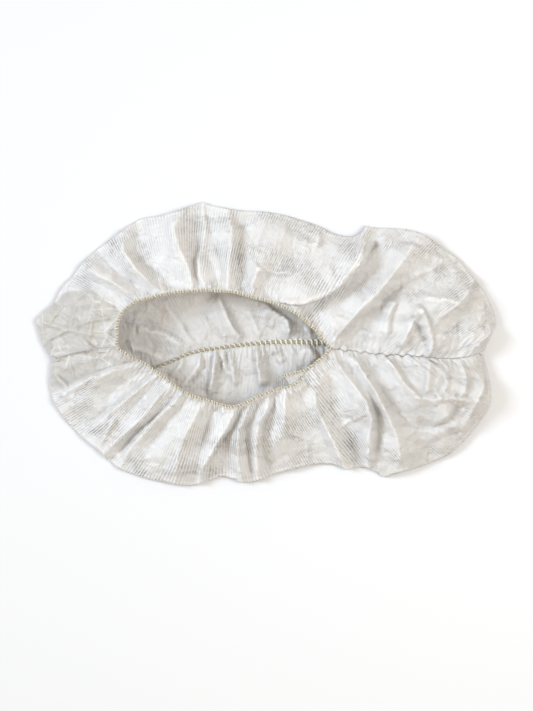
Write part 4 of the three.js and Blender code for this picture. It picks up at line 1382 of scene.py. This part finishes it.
# %% Creases, and the relief of everything fine
RIB_HEIGHT, CREASE_HEIGHT = 0.00022, 0.00016  # metres
long_lines = creases(width=0.018, length=0.04, seed=5.0)
cross_lines = creases(width=0.04, length=0.02, seed=41.0)
lines = times(math_node("MAXIMUM", long_lines, cross_lines), patchy(scale=30, low=0.46, high=0.54, seed=8.0))
fine = plus(times(ribs, roomy, RIB_HEIGHT), times(lines, CREASE_HEIGHT))
relief = new_node("Bump", {"Distance": 1.0, "Height": plus(fine, wrinkles)}).outputs["Normal"]
print("a crease stands", CREASE_HEIGHT / MM, "mm high")

# %% [markdown]
# ## Colour, and light through the cloth
#
# White cloth isn't evenly white.  Film looks greyer than ribs, and ribs shade each other.  Crease lines and
# sharp crests carry a painted highlight, sharp valleys painted shade, and the inside is painted darker and
# warmer as shade; at the toe the film's grey is painted shade.  The masks mix these colours, so that all of
# it follows the shape.  Thin cloth also glows: a share of Translucent shader lets light through, where
# Subsurface would blur the ribs.

# %% Colour
# FILM_AND_TOE_SHADE_GREY is the heel film's own grey, and painted shade where the toe takes it.
RIBBED_WHITE, FILM_AND_TOE_SHADE_GREY = (0.88, 0.88, 0.88, 1), (0.66, 0.64, 0.61, 1)
# CREASE_HIGHLIGHT is a painted highlight on the crease lines.
# INSIDE_SHADE is the inside's painted shade, darker and warmer.
CREASE_HIGHLIGHT, INSIDE_SHADE = (0.93, 0.93, 0.92, 1), (0.81, 0.797, 0.779, 1)
# BEND_HIGHLIGHT_AND_SHADE: painted highlight on sharp crests, painted shade in sharp valleys.
RIB_SHADE, BEND_HIGHLIGHT_AND_SHADE = 0.34, 0.13
# Painted highlight along the crease lines, strongest on the film.
crease_highlight = times(lines, plus(times(film, 0.8), 0.15))
# At the toe the film's grey is painted shade.
colour = mixed(mixed(RIBBED_WHITE, FILM_AND_TOE_SHADE_GREY, film), CREASE_HIGHLIGHT, crease_highlight)
# The inside is painted darker and warmer: painted shade, as under the top layer.
colour = mixed(colour, INSIDE_SHADE, inside)
crest = math_node("POWER", plus(times(rib, 0.5), 0.5), 2.0)
crest = times(math_node("SUBTRACT", crest, 0.55), strength)
# Rib crests lighter and the ground between them darker; sharp crests get a painted highlight, sharp valleys
# painted shade.
shade = plus(times(crest, RIB_SHADE), times(bent, BEND_HIGHLIGHT_AND_SHADE))
colour = mixed(colour, plus(shade, 1.0), 1, "MULTIPLY")
feed(shader, {"Base Color": colour, "Normal": relief, "Specular IOR Level": 0.4})
print("film cloth starts from", RIBBED_WHITE[:3])

# %% Light through the cloth
THROUGH_SHARE = 0.38
through = new_node("BsdfTranslucent", {"Color": (0.965, 0.92, 0.86, 1), "Normal": relief})
both = new_node("MixShader", {0: THROUGH_SHARE, 1: shader.outputs[0], 2: through.outputs[0]})
feed(nodes["Material Output"], {"Surface": both.outputs[0]})
for piece in (left_piece, right_piece):
    piece.data.materials.append(cloth_material)
print("the finish takes", len(nodes), "nodes")

# %% [markdown]
# ## Floor, light and camera
#
# The cover lies on a plain pale floor.  Broad cool light comes in low from the heel end, so that every crease
# has a light and a dark side; a weak lamp overhead and a warm surround keep the shadows soft.  A sun lamp
# would cast hard shadows.  The camera looks straight down from far off, so the cover's height hardly shifts
# its outline.

# %% Floor
floor_mesh = bpy.data.meshes.new("floor")
floor_mesh.from_pydata([(-3, -3, 0), (3, -3, 0), (3, 3, 0), (-3, 3, 0)], [], [(0, 1, 2, 3)])
floor = add_object("floor", floor_mesh)
floor_mesh.materials.append(new_material("pale_floor", (0.712, 0.706, 0.708), 0.9))
print("the floor is", round(floor.dimensions.x), "m wide")

# %% Lights


def soft_light(name, place, size, power, colour):
    """A square area light that looks at the middle of the cover."""
    data = bpy.data.lights.new(name, "AREA")
    data.size = size
    data.energy = power
    data.color = colour
    lamp = add_object(name, data)
    lamp.location = place
    lamp.rotation_euler = (Vector((0, 0, 0)) - Vector(place)).to_track_quat("-Z", "Y").to_euler()
    print(name, "gives", power, "W from", place)


soft_light("window", place=(-2.35, 0.6, 1.85), size=1.0, power=73.0, colour=(0.732, 0.87, 1.04))
soft_light("overhead", place=(0.5, 0.0, 1.0), size=0.5, power=7, colour=(0.885, 0.94, 1.0))
world = bpy.data.worlds.new("studio")
world.use_nodes = True
world.node_tree.nodes["Background"].inputs["Color"].default_value = (1.0, 0.884, 0.722, 1)
world.node_tree.nodes["Background"].inputs["Strength"].default_value = 0.65
bpy.context.scene.world = world
bpy.context.scene.view_settings.view_transform = "Standard"

# %% Camera
camera_data = bpy.data.cameras.new("camera")
camera_data.lens = 85
camera_data.sensor_fit = "VERTICAL"
camera_data.sensor_height = 24
camera = add_object("camera", camera_data)
camera.location = (0.0012, -0.0081, 2.06)
bpy.context.scene.camera = camera
print("the camera hangs", round(camera.location.z, 2), "m above the floor")

# %% [markdown]
# ## Riding on the frame
#
# Each piece hides the node of the frame that it stands for, and rides on the frame's root body.  The pieces
# could be parented by hand, but these calls also look each node up by its name.

# %% Riding on the frame
for piece, node in ((left_piece, "left_panel"), (right_piece, "right_panel")):
    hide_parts(node)
    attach(piece, "root")
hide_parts("mouth_elastic")
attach(elastic_piece, "root")
for piece, node in ((sole_piece, "sole_seam"), (instep_piece, "instep_seam"), (heel_piece, "heel_seam")):
    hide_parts(node)
    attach(piece, "root")
print("six pieces ride on the frame")
